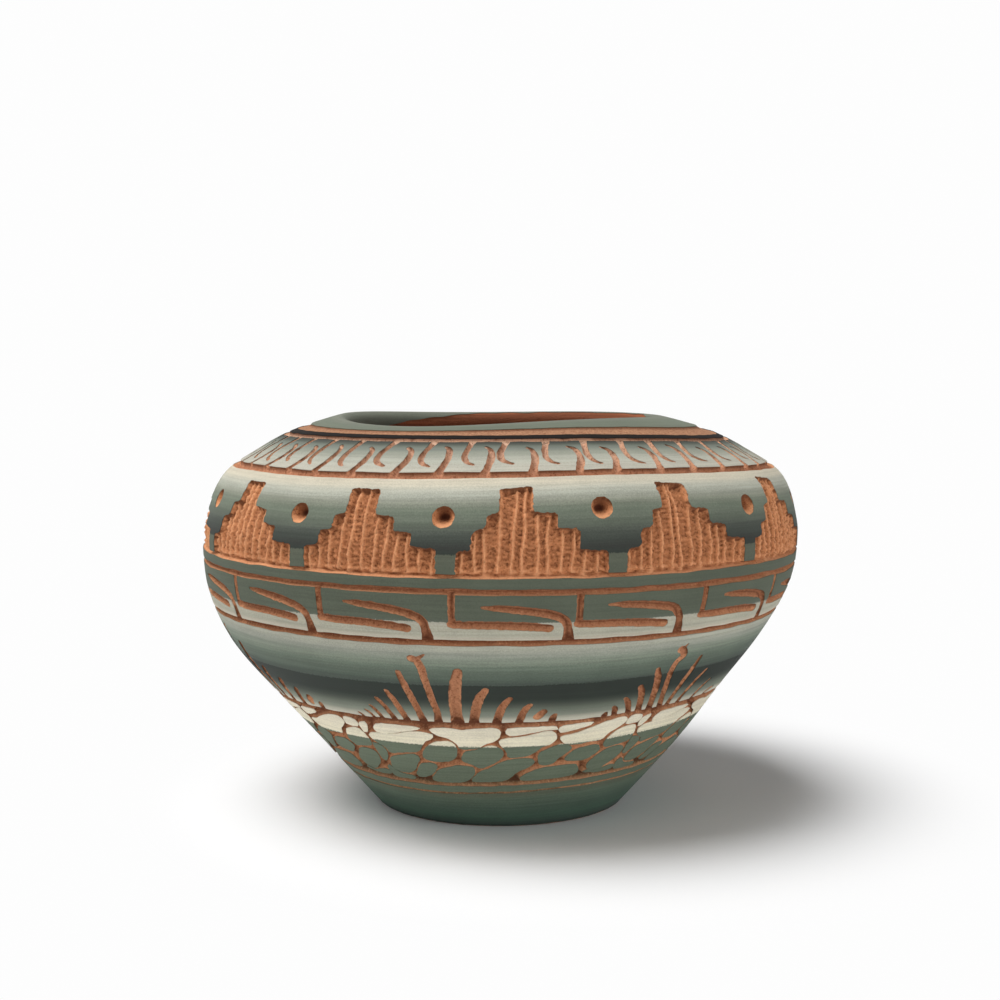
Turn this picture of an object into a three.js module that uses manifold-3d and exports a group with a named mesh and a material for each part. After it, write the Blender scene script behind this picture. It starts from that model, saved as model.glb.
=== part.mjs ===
// A seed pot: a wide, squat pot of red clay, thrown in one piece, with a turned-in shoulder and a wide mouth.
// Coats of coloured slip wrap it from foot to lip. Rings cut through the slip part the coats from each other
// and bare the clay, and so do the stepped figures and the dots on the shoulder.
// Millimetres, +Z up, with the origin under the middle of the foot and the front of the pot towards -Y.

import * as THREE from "three";
import { mergeVertices } from "three/addons/utils/BufferGeometryUtils.js";
import Module from "manifold-3d";

const wasm = await Module();
wasm.setup();

// The thrown form
const FOOT_RADIUS = 31.8;
const BELLY_RADIUS = 76;
const BELLY_HEIGHT = 67.8;
const SHOULDER_RISE = 30.6; // from the belly's widest ring up to the lip
const MOUTH_RADIUS = 39.8;
const WALL = 6;
const LIP_WALL = 4.5; // the wall is thinned towards the lip, which is rounded over
const LIP_THINNING = 24; // length of wall over which it thins
const FLOOR = 7;
const FOOT_EDGE = 1.2; // width of the worn edge round the base
const FLOOR_ROUND = 12; // reach of the round between the floor and the wall inside

// How the wall swells from foot to belly, as shares of the height and of the swell
const SWELL = [
  [0.22, 0.294],
  [0.44, 0.568],
  [0.65, 0.82],
  [0.84, 0.963],
];
// How the shoulder draws in from belly to lip, as shares of the rise and of the way in
const DRAW_IN = [
  [0.24, 0.021],
  [0.55, 0.136],
  [0.74, 0.372],
  [0.91, 0.666],
];

// The hand-made lip rises and falls a little. Each swing has its count in one turn round the mouth, and its
// heights on the right and a quarter swing further on
const LIP_RAISED = 0.56;
const LIP_SWINGS = [
  { count: 1, right: 0.25, further: 0.33 },
  { count: 2, right: 0.26, further: -0.48 },
  { count: 3, right: -0.36, further: 0.16 },
];
const LIP_SWING_REACH = 13.4; // how far out over the shoulder the swings die away

// The thrown wall runs a little off centre: the way towards the right, and the heights it starts and ends at
const OFF_CENTRE = [
  { way: -1.6, from: 14, to: 68 },
  { way: 0.7, from: 68, to: 104 },
];

// The slip and the cuts through it
const COAT = 0.6;
const CLEARANCE = 0.3; // between a coat and the clay that it lies on
const RING_DEPTH = 1.5; // from the face of the slip to the bottom of a cut ring
const RIM_INSIDE = 7; // how far the rim's slip runs down inside the mouth

const GREEN = 0x60776b;
const CHARCOAL = 0x3f4b4b;
const PALE = 0xaab7ac;
const CREAM = 0xe0dbc8;
const CLAY = 0xb9764c;

// The coats from the foot up: width of the bare clay below each, which above the foot is a cut ring,
// and height of the coat along the wall. They share out the wall in these proportions, whatever its length.
const BANDS = [
  { coat: "slip_foot", bare: 0.8, height: 13.5, colour: GREEN },
  { coat: "slip_foot_line", bare: 0.8, height: 2.1, colour: GREEN },
  { coat: "slip_stone_band", bare: 1.5, height: 20.7, colour: CREAM },
  { coat: "slip_belly_band", bare: 1.6, height: 24, colour: CHARCOAL },
  { coat: "slip_meander_band", bare: 1.5, height: 10.4, colour: GREEN },
  { coat: "slip_plain_band", bare: 1.4, height: 2.3, colour: GREEN },
  { coat: "slip_shoulder_band", bare: 1, height: 22.3, colour: PALE },
  { coat: "slip_hook_band", bare: 2.4, height: 11.9, colour: PALE },
  { coat: "slip_dark_line", bare: 1.7, height: 2.4, colour: CHARCOAL },
  { coat: "slip_rim", bare: 4.7, height: 5, colour: GREEN },
];
const FIGURE_BAND = "slip_shoulder_band";

// The stepped figures, spaced by eye: bearings of their tops, in degrees from the front towards the right
const FIGURE_BEARINGS = [-53, -24.5, 2.4, 32, 61, 91, 121, 151, 181, 212, 244, 276];
const FIGURE_GAP = 4.3; // width of slip left standing between the bases of two figures
const FIGURE_LEAN = 0.58; // share of the way to the next figure on the right that a figure's base takes
// Steps from the base up: reach to left and right as shares of the base's own, and rise of the step
const FIGURE_STEPS = [
  { left: 1, right: 1, rise: 5.4 },
  { left: 0.74, right: 0.69, rise: 3.8 },
  { left: 0.5, right: 0.45, rise: 3.5 },
  { left: 0.29, right: 0.19, rise: 6.3 },
];
const DOT_RADIUS = 2.4;
const DOT_TIP_RADIUS = 1.3;
const DOT_DEPTH = 1.8;
// The dots between the figures: bearing, and height above the figures' base along the wall
const DOTS = [
  { bearing: -68.4, rise: 12.8 },
  { bearing: -37.2, rise: 12.6 },
  { bearing: -9.7, rise: 12.3 },
  { bearing: 17.3, rise: 14.3 },
  { bearing: 50.1, rise: 13 },
  { bearing: 78, rise: 13.2 },
  { bearing: 108.6, rise: 12.8 },
  { bearing: 138.2, rise: 13.6 },
  { bearing: 168.6, rise: 12.9 },
  { bearing: 199.2, rise: 13.8 },
  { bearing: 230.4, rise: 12.7 },
  { bearing: 262.4, rise: 13.4 },
];

// Fineness of the solids
const SIDES = 48;
const SPAN = 7.5; // longest straight stretch of a coat's outline
const INSIDE_SPAN = 8.5; // the same on the plain inside
const LIP_STEPS = 4;
const ROUND_STEPS = 4;
const DOT_SIDES = 10;

const degrees = THREE.MathUtils.degToRad;

// The outline of the finished pot's face, foot to lip, as radius and height
function wallOutline() {
  const lipRadius = MOUTH_RADIUS + LIP_WALL / 2;
  const swell = ([up, out]) =>
    new THREE.Vector2(FOOT_RADIUS + (BELLY_RADIUS - FOOT_RADIUS) * out, BELLY_HEIGHT * up);
  const drawIn = ([up, inward]) =>
    new THREE.Vector2(BELLY_RADIUS - (BELLY_RADIUS - lipRadius) * inward, BELLY_HEIGHT + SHOULDER_RISE * up);
  const outline = new THREE.SplineCurve([
    swell([0, 0]),
    ...SWELL.map(swell),
    swell([1, 1]),
    ...DRAW_IN.map(drawIn),
    drawIn([1, 1]),
  ]);
  outline.arcLengthDivisions = 400;
  return outline;
}

const outline = wallOutline();
const wallLength = outline.getLength();
const laidOut = BANDS.reduce((sum, band) => sum + band.bare + band.height, 0);
const share = wallLength / laidOut;

// A point on the wall, a length up along its face and a depth in from it
function wallPoint(along, depth) {
  const at = THREE.MathUtils.clamp(along / wallLength, 0, 1);
  const point = outline.getPointAt(at);
  const rise = outline.getTangentAt(at);
  return new THREE.Vector2(point.x - rise.y * depth, point.y + rise.x * depth);
}

// Points up the wall between two places, at one depth
function wallPath(from, to, depth) {
  const spans = Math.max(1, Math.ceil((to - from) / SPAN));
  return Array.from({ length: spans + 1 }, (_, i) => wallPoint(from + ((to - from) * i) / spans, depth));
}

// Points over the rounded lip, from its outside to its inside, at one depth
function lipPath(depth) {
  const top = wallPoint(wallLength, 0);
  const inward = outline.getTangentAt(1);
  const half = LIP_WALL / 2;
  const middle = wallPoint(wallLength, half);
  const down = middle.clone().sub(top).divideScalar(half);
  return Array.from({ length: LIP_STEPS - 1 }, (_, i) => {
    const turn = (Math.PI * (i + 1)) / LIP_STEPS;
    return middle
      .clone()
      .addScaledVector(down, -(half - depth) * Math.cos(turn))
      .addScaledVector(inward, (half - depth) * Math.sin(turn));
  });
}

// A point on the inside face of the wall, a length down from the lip and a depth into the clay
function insidePoint(down, depth) {
  const thinned = THREE.MathUtils.smoothstep(down, 0, LIP_THINNING);
  const wall = THREE.MathUtils.lerp(LIP_WALL, WALL, thinned);
  return wallPoint(wallLength - down, wall - depth);
}

// The lip's height above or below its mean, by the turn round the pot
function lipSwing(turn) {
  return LIP_SWINGS.reduce((sum, { count, right, further }) => {
    return sum + right * Math.cos(count * turn) + further * Math.sin(count * turn);
  }, LIP_RAISED);
}

// Lets the lip rise and fall as a hand-made one does, fading out over the shoulder
function swingLip(geometry) {
  const place = geometry.getAttribute("position");
  const still = MOUTH_RADIUS + LIP_WALL / 2 + LIP_SWING_REACH;
  for (let i = 0; i < place.count; i++) {
    if (place.getZ(i) < BELLY_HEIGHT) continue;
    const radius = Math.hypot(place.getX(i), place.getY(i));
    const reach = 1 - THREE.MathUtils.smoothstep(radius, MOUTH_RADIUS, still);
    const turn = Math.atan2(place.getY(i), place.getX(i));
    place.setZ(i, place.getZ(i) + lipSwing(turn) * reach);
  }
  return geometry;
}

// How far off centre the wall stands at a height
function offCentre(height) {
  return OFF_CENTRE.reduce((sum, { way, from, to }) => {
    const share = THREE.MathUtils.clamp((height - from) / (to - from), 0, 1);
    return sum + way * Math.sin(Math.PI * share) ** 2;
  }, 0);
}

// Shifts a finished piece sideways, height by height, as the thrown wall wanders off its axis
function thrown(geometry) {
  const place = geometry.getAttribute("position");
  for (let i = 0; i < place.count; i++) {
    place.setX(i, place.getX(i) + offCentre(place.getZ(i)));
  }
  geometry.computeVertexNormals();
  return geometry;
}

// An outline turned round the pot's axis, with +Z up
function turned(points) {
  return swingLip(new THREE.LatheGeometry(points, SIDES).rotateX(Math.PI / 2));
}

// A closed mesh as a solid that can be cut, and back again
function solidOf(geometry) {
  const bare = geometry.clone();
  bare.deleteAttribute("normal");
  bare.deleteAttribute("uv");
  const merged = mergeVertices(bare, 1e-4);
  return new wasm.Manifold(
    new wasm.Mesh({
      numProp: 3,
      vertProperties: merged.getAttribute("position").array,
      triVerts: new Uint32Array(merged.index.array),
    }),
  );
}

function geometryOf(solid) {
  const mesh = solid.getMesh();
  const geometry = new THREE.BufferGeometry();
  geometry.setAttribute("position", new THREE.BufferAttribute(mesh.vertProperties, 3));
  geometry.setIndex(new THREE.BufferAttribute(mesh.triVerts, 1));
  geometry.computeVertexNormals();
  return geometry;
}

// Where each coat lies along the wall, and where the ring below it is deepest
const coats = [];
let along = 0;
for (const band of BANDS) {
  const ring = along + (band.bare * share) / 2;
  const from = along + band.bare * share;
  along = from + band.height * share;
  coats.push({ ...band, ring, from, to: along });
}
const figureBase = coats.find((coat) => coat.coat === FIGURE_BAND).from;

// A coat of slip: a thin shell on the face of the wall, and on the rim over the lip and down inside
function coatGeometry(coat) {
  const isRim = coat === coats.at(-1);
  const path = (depth) => {
    const face = wallPath(coat.from, coat.to, depth);
    if (!isRim) return face;
    const inside = [0, RIM_INSIDE].map((down) => insidePoint(down, depth));
    return [...face, ...lipPath(depth), ...inside];
  };
  const outer = path(0);
  return turned([...outer, ...path(COAT).reverse(), outer[0]]);
}

// The clay under the coats: base, wall with its cut rings, lip, and the plain inside
function clayGeometry() {
  const recess = COAT + CLEARANCE;
  const points = [new THREE.Vector2(0, 0), new THREE.Vector2(FOOT_RADIUS - FOOT_EDGE, 0)];
  points.push(wallPoint(0, recess));
  coats.forEach((coat, i) => {
    if (i > 0) points.push(wallPoint(coat.ring, RING_DEPTH));
    points.push(...wallPath(coat.from, coat.to, recess));
  });
  points.push(...lipPath(recess));
  points.push(insidePoint(0, recess), insidePoint(RIM_INSIDE + CLEARANCE, recess));

  // Down the plain inside, to the round that joins the wall to the level floor
  let down = RIM_INSIDE + 2 * CLEARANCE;
  while (insidePoint(down, 0).y > FLOOR + FLOOR_ROUND) {
    points.push(insidePoint(down, 0));
    down += INSIDE_SPAN;
  }
  const corner = new THREE.Vector2(FOOT_RADIUS - FOOT_EDGE, FLOOR);
  const floorEnd = new THREE.Vector2(corner.x - FLOOR_ROUND, FLOOR);
  const round = new THREE.QuadraticBezierCurve(insidePoint(down, 0), corner, floorEnd);
  points.push(...round.getPoints(ROUND_STEPS));
  points.push(new THREE.Vector2(0, FLOOR));
  return turned(points);
}

// A stepped figure as a block that reaches from the wall outwards, for cutting it out of the slip
function figureCutter(bearing, toLeft, toRight) {
  const base = wallPoint(figureBase, 0).x;
  const sideways = (reach) => base * Math.sin(reach / base);
  const baseLeft = degrees(toLeft) * base * (1 - FIGURE_LEAN) - FIGURE_GAP / 2;
  const baseRight = degrees(toRight) * base * FIGURE_LEAN - FIGURE_GAP / 2;
  let up = figureBase;
  const levels = [wallPoint(figureBase - CLEARANCE, 0).y - COAT];
  for (const step of FIGURE_STEPS) {
    up += step.rise * share;
    levels.push(wallPoint(up, 0).y);
  }
  const left = FIGURE_STEPS.flatMap((step, i) =>
    [levels[i], levels[i + 1]].map((level) => new THREE.Vector2(-sideways(step.left * baseLeft), level)),
  );
  const right = FIGURE_STEPS.flatMap((step, i) =>
    [levels[i], levels[i + 1]].map((level) => new THREE.Vector2(sideways(step.right * baseRight), level)),
  );
  const steps = new THREE.Shape([...left, ...right.reverse()]);
  const start = BELLY_RADIUS / 2;
  const block = new THREE.ExtrudeGeometry(steps, { depth: BELLY_RADIUS, bevelEnabled: false });
  return block.rotateX(Math.PI / 2).translate(0, -start, 0).rotateZ(degrees(bearing));
}

// A round dot, drilled through the slip into the clay, square to the face of the wall
function dotCutter({ bearing, rise }) {
  const place = wallPoint(figureBase + rise * share, DOT_DEPTH);
  const face = wallPoint(figureBase + rise * share, 0);
  const lean = Math.atan2(face.y - place.y, face.x - place.x);
  const length = DOT_DEPTH + CLEARANCE;
  const drill = new THREE.CylinderGeometry(DOT_RADIUS, DOT_TIP_RADIUS, length, DOT_SIDES);
  return drill
    .translate(0, length / 2, 0)
    .rotateZ(lean - Math.PI / 2)
    .translate(place.x, place.y, 0)
    .rotateX(Math.PI / 2)
    .rotateZ(degrees(bearing) - Math.PI / 2);
}

function cutAll(geometry, cutters) {
  const cut = cutters.reduce((solid, cutter) => solid.subtract(solidOf(cutter)), solidOf(geometry));
  return geometryOf(cut);
}

const fired = (colour) => new THREE.MeshStandardMaterial({ color: colour, roughness: 0.85, metalness: 0 });

// The angle from each figure to the next one on its right
const waysOn = FIGURE_BEARINGS.map((bearing, i) =>
  i + 1 < FIGURE_BEARINGS.length ? FIGURE_BEARINGS[i + 1] - bearing : FIGURE_BEARINGS[0] + 360 - bearing,
);
const figures = FIGURE_BEARINGS.map((bearing, i) => figureCutter(bearing, waysOn.at(i - 1), waysOn[i]));
const dots = DOTS.map(dotCutter);

const pot = new THREE.Group();

const clay = new THREE.Mesh(thrown(cutAll(clayGeometry(), dots)), fired(CLAY));
clay.name = "clay_body";
pot.add(clay);

for (const coat of coats) {
  const whole = coatGeometry(coat);
  const geometry = coat.coat === FIGURE_BAND ? cutAll(whole, [...figures, ...dots]) : whole;
  const mesh = new THREE.Mesh(thrown(geometry), fired(coat.colour));
  mesh.name = coat.coat;
  pot.add(mesh);
}

export default pot;
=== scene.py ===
# %% [markdown]
# # A seed pot, carved through coloured slip
# The real pot is thrown in red clay and painted with coats of slip, which is clay thinned with water and
# coloured. While both are still soft a tool cuts through the slip, so that every line shows the red clay.
# This lesson makes the pot the same way round: first the wall, then the cuts, then one thin shell of slip
# for each painted band, and last the carved clay under them. Lengths are in millimetres until they go into
# a mesh.

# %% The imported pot, which everything is fitted to
import math

import bpy
import numpy as np
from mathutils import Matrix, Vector, geometry, kdtree


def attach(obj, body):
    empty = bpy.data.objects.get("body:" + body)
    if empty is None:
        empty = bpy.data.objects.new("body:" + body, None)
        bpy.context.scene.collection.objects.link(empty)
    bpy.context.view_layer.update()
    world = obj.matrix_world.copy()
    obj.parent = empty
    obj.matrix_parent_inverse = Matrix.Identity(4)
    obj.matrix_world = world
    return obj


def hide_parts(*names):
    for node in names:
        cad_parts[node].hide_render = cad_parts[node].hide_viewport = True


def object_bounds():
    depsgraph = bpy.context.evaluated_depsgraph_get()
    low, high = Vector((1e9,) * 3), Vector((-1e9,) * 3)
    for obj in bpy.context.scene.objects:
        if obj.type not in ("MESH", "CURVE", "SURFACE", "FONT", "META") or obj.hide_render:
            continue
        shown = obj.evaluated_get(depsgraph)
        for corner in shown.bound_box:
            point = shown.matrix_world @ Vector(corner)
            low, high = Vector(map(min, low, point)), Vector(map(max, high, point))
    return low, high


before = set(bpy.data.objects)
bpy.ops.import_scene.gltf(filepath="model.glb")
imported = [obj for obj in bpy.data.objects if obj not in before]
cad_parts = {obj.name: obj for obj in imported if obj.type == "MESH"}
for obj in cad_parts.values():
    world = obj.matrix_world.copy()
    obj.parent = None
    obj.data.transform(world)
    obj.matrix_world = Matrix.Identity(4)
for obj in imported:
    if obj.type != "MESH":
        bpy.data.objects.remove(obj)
cad_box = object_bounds()
MM = 0.001
POT_SIZE = [(high - low) / MM for low, high in zip(*cad_box)]
print("The packed pot is", [round(side, 1) for side in POT_SIZE], "mm")

# %% [markdown]
# ## The eye
# The photograph looks at the pot from a little above its shoulder, about 40 cm away. Its outline was fitted
# with a pinhole camera, which gives the height, the distance and the dip below. The lens follows from the
# focal length in pixels, on a picture 1000 pixels wide.

# %% The camera
EYE_AWAY = 416.0
EYE_HEIGHT = 112.1
EYE_DIP = 4.79
FOCAL_PIXELS = 1608.1
PICTURE_PIXELS = 1000
SENSOR = 36.0

eye = bpy.data.cameras.new("eye")
eye.sensor_width = SENSOR
eye.lens = SENSOR * FOCAL_PIXELS / PICTURE_PIXELS
eye.clip_end = 50
camera = bpy.data.objects.new("eye", eye)
camera.location = (0, -EYE_AWAY * MM, EYE_HEIGHT * MM)
camera.rotation_euler = (math.radians(90 - EYE_DIP), 0, 0)
bpy.context.collection.objects.link(camera)
bpy.context.scene.camera = camera
bpy.context.scene.view_settings.view_transform = "Standard"
print("The lens is", round(eye.lens, 1), "mm")

# %% [markdown]
# ## Mixing finishes
# A finish is a small net of nodes. Written as nodes it is hard to read, so one class wraps a socket and
# lets ordinary signs add the node that does the sum. `Net.node` makes any other node: its settings are set
# first, because a setting can change which sockets there are, and then its sockets are fed.

# %% One socket, with signs for its sums
class Lay:
    """Something that differs from place to place: an amount, a direction or a colour."""

    def __init__(self, net, socket):
        self.net = net
        self.socket = socket

    def sum(self, kind, first, second):
        types = [x.socket.type for x in (first, second) if isinstance(x, Lay)]
        if "RGBA" in types:
            blend = {"data_type": "RGBA", "blend_type": kind}
            return self.net.node("ShaderNodeMix", blend, {0: 1.0, 6: first, 7: second}, 2)
        maths = "ShaderNodeVectorMath" if "VECTOR" in types else "ShaderNodeMath"
        return self.net.node(maths, {"operation": kind}, {0: first, 1: second})

    def __add__(self, other):
        return self.sum("ADD", self, other)

    def __radd__(self, other):
        return self.sum("ADD", other, self)

    def __sub__(self, other):
        return self.sum("SUBTRACT", self, other)

    def __rsub__(self, other):
        return self.sum("SUBTRACT", other, self)

    def __mul__(self, other):
        return self.sum("MULTIPLY", self, other)

    def __rmul__(self, other):
        return self.sum("MULTIPLY", other, self)

    def either(self, other):
        """The larger of two amounts."""
        return self.sum("MAXIMUM", self, other)

    def between(self, low, high):
        """0 below low, 1 above high, and a smooth way between them."""
        feeds = {0: self, 1: low, 2: high, 3: 0.0, 4: 1.0}
        return self.net.node("ShaderNodeMapRange", {"interpolation_type": "SMOOTHSTEP"}, feeds)


# %% A net of nodes, and where it ends
class Net:
    """The nodes of one finish, or of the room."""

    def __init__(self, tree):
        self.tree = tree

    def node(self, kind, settings=None, feeds=None, out=0):
        node = self.tree.nodes.new(kind)
        for key, value in (settings or {}).items():
            if key == "stops":
                self.set_stops(node.color_ramp, value)
            else:
                setattr(node, key, value)
        for key, value in (feeds or {}).items():
            self.feed(node.inputs[key], value)
        return Lay(self, node.outputs[out])

    def set_stops(self, ramp, stops):
        while len(ramp.elements) < len(stops):
            ramp.elements.new(1.0)
        for element, (place, colour) in zip(ramp.elements, stops):
            element.position = place
            element.color = colour

    def feed(self, socket, value):
        if isinstance(value, Lay):
            self.tree.links.new(value.socket, socket)
        else:
            socket.default_value = value

    def ray(self, name):
        """1 for rays of that kind and 0 for the others."""
        return self.node("ShaderNodeLightPath", out=name)

    def end(self, kind, shader):
        self.feed(self.tree.nodes[kind + " Output"].inputs["Surface"], shader)


# %% A finish, and what it can be mixed from
STREAK_DRAW = 0.02  # how fast a streak changes round the pot, as a share of how fast it changes up the wall


def paint(shade):
    """A colour as a painter would name it, 0 to 255 as on a screen, in the numbers that a shader takes."""
    screen = [part / 255 for part in shade]
    light = [part / 12.92 if part <= 0.04045 else ((part + 0.055) / 1.055) ** 2.4 for part in screen]
    return (*light, 1.0)


class Finish(Net):
    """A material in the making."""

    def __init__(self, name, shine):
        self.material = bpy.data.materials.new(name)
        self.material.use_nodes = True
        super().__init__(self.material.node_tree)
        self.shader = self.tree.nodes["Principled BSDF"]
        self.to_shader("Specular IOR Level", shine)

    def to_shader(self, name, value):
        self.feed(self.shader.inputs[name], value)

    def place(self):
        """Where a point of the surface is, in metres from the middle of the foot."""
        return self.node("ShaderNodeTexCoord", out="Object")

    def known(self, name):
        """An amount that the mesh carries at each of its points."""
        return self.node("ShaderNodeAttribute", {"attribute_name": name}, out="Fac")

    def swept(self, place, along):
        """The place drawn out round the pot, so that grain in it turns into streaks from the wheel."""
        up = self.node("ShaderNodeCombineXYZ", None, {"Z": along * MM})
        return place * (STREAK_DRAW, STREAK_DRAW, 0) + up

    def grain(self, place, size, detail=2.0, roughness=0.5):
        """Noise from 0 to 1 with lumps of about that size, in millimetres."""
        feeds = {"Vector": place, "Scale": 1 / (size * MM), "Detail": detail, "Roughness": roughness}
        return self.node("ShaderNodeTexNoise", {"noise_dimensions": "3D"}, feeds)

    def blend(self, share, first, second):
        """The first colour where share is 0 and the second where it is 1."""
        return self.node("ShaderNodeMix", {"data_type": "RGBA"}, {0: share, 6: first, 7: second}, 2)

    def shades(self, amount, tones, low, high):
        """A colour for each amount from low to high. Each tone is an amount and a colour."""
        stops = [((at - low) / (high - low), paint(colour)) for at, colour in tones]
        return self.node("ShaderNodeValToRGB", {"stops": stops}, {0: (amount - low) * (1 / (high - low))})

    def bump(self, height, distance, strength):
        feeds = {"Height": height, "Distance": distance * MM, "Strength": strength}
        return self.node("ShaderNodeBump", None, feeds)


print("Finishes can be mixed")

# %% [markdown]
# ## The table, the room and the light
# The pot stands on a plain white table in a white room. The main light is a big soft box almost overhead, a
# little to the left, so a soft shadow lies to the right of the pot. Three cards stand low around the front.
# They light the underside of the belly, most of all from the right. The room looks white to the eye
# whatever light it gives, because the eye's own rays are told apart from the others, and outside the shadow
# the table turns into the same white.

# %% The table
TABLE_REACH = 12.0
TABLE_GAP = 0.02
TABLE_WHITE = (0.93, 0.93, 0.93, 1)
PAPER_WHITE = (0.985, 0.985, 0.985, 1)
# From one distance to the other, in metres from the shadow's middle, the table fades into white
SHADOW_MIDDLE = (0.02, 0.006, 0)
WHITE_FROM = 0.055
WHITE_BY = 0.115

table_mesh = bpy.data.meshes.new("table")
corners = [(x * TABLE_REACH, y * TABLE_REACH, 0) for x, y in ((-1, -1), (1, -1), (1, 1), (-1, 1))]
table_mesh.from_pydata(corners, [], [(0, 1, 2, 3)])
table = bpy.data.objects.new("table", table_mesh)
table.location.z = -TABLE_GAP * MM
bpy.context.collection.objects.link(table)
tabletop = Finish("white_table", 0.1)
tabletop.to_shader("Base Color", TABLE_WHITE)
tabletop.to_shader("Roughness", 0.9)
to_shadow = {0: tabletop.place(), 1: SHADOW_MIDDLE}
away = tabletop.node("ShaderNodeVectorMath", {"operation": "DISTANCE"}, to_shadow, "Value")
paper = tabletop.node("ShaderNodeEmission", None, {"Color": PAPER_WHITE})
lit = Lay(tabletop, tabletop.shader.outputs[0])
fade = {0: away.between(WHITE_FROM, WHITE_BY) * tabletop.ray("Is Camera Ray"), 1: lit, 2: paper}
tabletop.end("Material", tabletop.node("ShaderNodeMixShader", None, fade))
table_mesh.materials.append(tabletop.material)
print("The table is white from", round(WHITE_BY / MM), "mm out")

# %% The room
ROOM_LIGHT = 0.12

room = bpy.data.worlds.new("white_room")
room.use_nodes = True
bpy.context.scene.world = room
walls = Net(room.node_tree)
seen = walls.ray("Is Camera Ray").either(walls.ray("Is Transmission Ray"))
seen = seen.either(walls.ray("Is Glossy Ray"))
light_given = walls.node("ShaderNodeBackground", None, {"Color": (1, 1, 1, 1), "Strength": ROOM_LIGHT})
white_seen = walls.node("ShaderNodeBackground", None, {"Color": PAPER_WHITE, "Strength": 1})
walls.end("World", walls.node("ShaderNodeMixShader", None, {0: seen, 1: light_given, 2: white_seen}))
print("The room gives", ROOM_LIGHT, "of white light")

# %% The lamps
POT_MIDDLE = Vector((0, 0, 50 * MM))


def lamp(name, place, width, power):
    """A square soft lamp that faces the pot."""
    light = bpy.data.lights.new(name, "AREA")
    light.size = width
    light.energy = power
    lit = bpy.data.objects.new(name, light)
    lit.location = Vector(place)
    lit.rotation_euler = (POT_MIDDLE - lit.location).to_track_quat("-Z", "Y").to_euler()
    bpy.context.collection.objects.link(lit)
    return lit


lamp("soft_box", (-0.42, -0.12, 1.1), 0.95, 17.0)
lamp("front_card", (0.1, -1.5, 0.15), 0.9, 3.0)
lamp("right_card", (1.2, -0.8, 0.12), 0.9, 12.0)
lamp("left_card", (-1.3, -0.6, 0.12), 0.9, 4.0)
print(len(bpy.data.lights), "lamps face the pot")

# %% [markdown]
# ## The wall
# The wall is one curve turned round the pot's axis. A place on its face is named as a maker would name it:
# a bearing round the pot, in degrees from the front towards the right, and a length along the face,
# measured up from the foot. The same few points shape the curve as in the packed clay. Past the lip the
# length runs on, over the round of the lip and down inside.

# %% The sizes of the thrown form
FOOT_RADIUS = 31.8
BELLY_RADIUS = 76.0
BELLY_HEIGHT = 67.8
SHOULDER_RISE = 30.6
MOUTH_RADIUS = 39.8
WALL = 6.0
LIP_WALL = 4.5
LIP_THINNING = 24.0
FLOOR = 7.0
FLOOR_ROUND = 12.0
FOOT_EDGE = 1.2
SWELL = [(0.22, 0.294), (0.44, 0.568), (0.65, 0.82), (0.84, 0.963)]
DRAW_IN = [(0.24, 0.021), (0.55, 0.136), (0.74, 0.372), (0.91, 0.666)]
OFF_CENTRE = [(-1.6, 14, 68), (0.7, 68, 104)]  # way to the right, and the heights where it starts and ends
INSIDE_SEEN = 12.0  # how far down inside the carved mesh goes, before the plain inside takes over
DEGREE = math.pi / 180


def smooth_share(value, low, high):
    """0 below low, 1 above high, and a smooth way between them."""
    share = np.clip((np.asarray(value, float) - low) / (high - low), 0, 1)
    return share * share * (3 - 2 * share)


def curve_through(points, fineness, closed=False):
    """Many points on a smooth curve through a few."""
    points = np.asarray(points, float)
    if closed:
        padded = np.vstack([points[-1:], points, points[:2]])
    else:
        padded = np.vstack([points[:1], points, points[-1:]])
    share = np.linspace(0, 1, fineness, endpoint=False)[:, None]
    spans = []
    for before, start, end, after in zip(padded, padded[1:], padded[2:], padded[3:]):
        leave = (end - before) / 2
        arrive = (after - start) / 2
        cubic = 2 * start - 2 * end + leave + arrive
        square = 3 * end - 3 * start - 2 * leave - arrive
        spans.append(cubic * share**3 + square * share**2 + leave * share + start)
    if not closed:
        spans.append(points[-1:])
    return np.vstack(spans)


def lengths_along(line):
    return np.concatenate([[0], np.cumsum(np.hypot(*np.diff(line, axis=0).T))])


def half_turn(bearing):
    """The same bearing, from half a turn to the left to half a turn to the right."""
    return (np.asarray(bearing) + 180) % 360 - 180


print("The belly is", 2 * BELLY_RADIUS, "mm across")

# %% The wall's curve, from the foot over the lip and down inside
FORM_FINENESS = 400
WALL_FINENESS = 2600
LIP_FINENESS = 160
INSIDE_FINENESS = 200

lip_radius = MOUTH_RADIUS + LIP_WALL / 2
way_out = BELLY_RADIUS - FOOT_RADIUS
way_in = BELLY_RADIUS - lip_radius
form_points = [
    (FOOT_RADIUS, 0),
    *((FOOT_RADIUS + way_out * out, BELLY_HEIGHT * up) for up, out in SWELL),
    (BELLY_RADIUS, BELLY_HEIGHT),
    *((BELLY_RADIUS - way_in * share, BELLY_HEIGHT + SHOULDER_RISE * up) for up, share in DRAW_IN),
    (lip_radius, BELLY_HEIGHT + SHOULDER_RISE),
]
form = curve_through(form_points, FORM_FINENESS)
form_length = lengths_along(form)
WALL_LENGTH = form_length[-1]
form_rise = np.gradient(form, form_length, axis=0)
form_rise /= np.hypot(*form_rise.T)[:, None]


def form_at(along):
    """Radius and height of the face, and the way up it, at a length along the wall."""
    point = np.column_stack([np.interp(along, form_length, form[:, i]) for i in (0, 1)])
    rise = np.column_stack([np.interp(along, form_length, form_rise[:, i]) for i in (0, 1)])
    return point, rise


def wall_thickness(down):
    """How thick the wall is at a length down from the lip."""
    return LIP_WALL + (WALL - LIP_WALL) * smooth_share(down, 0, LIP_THINNING)


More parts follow.
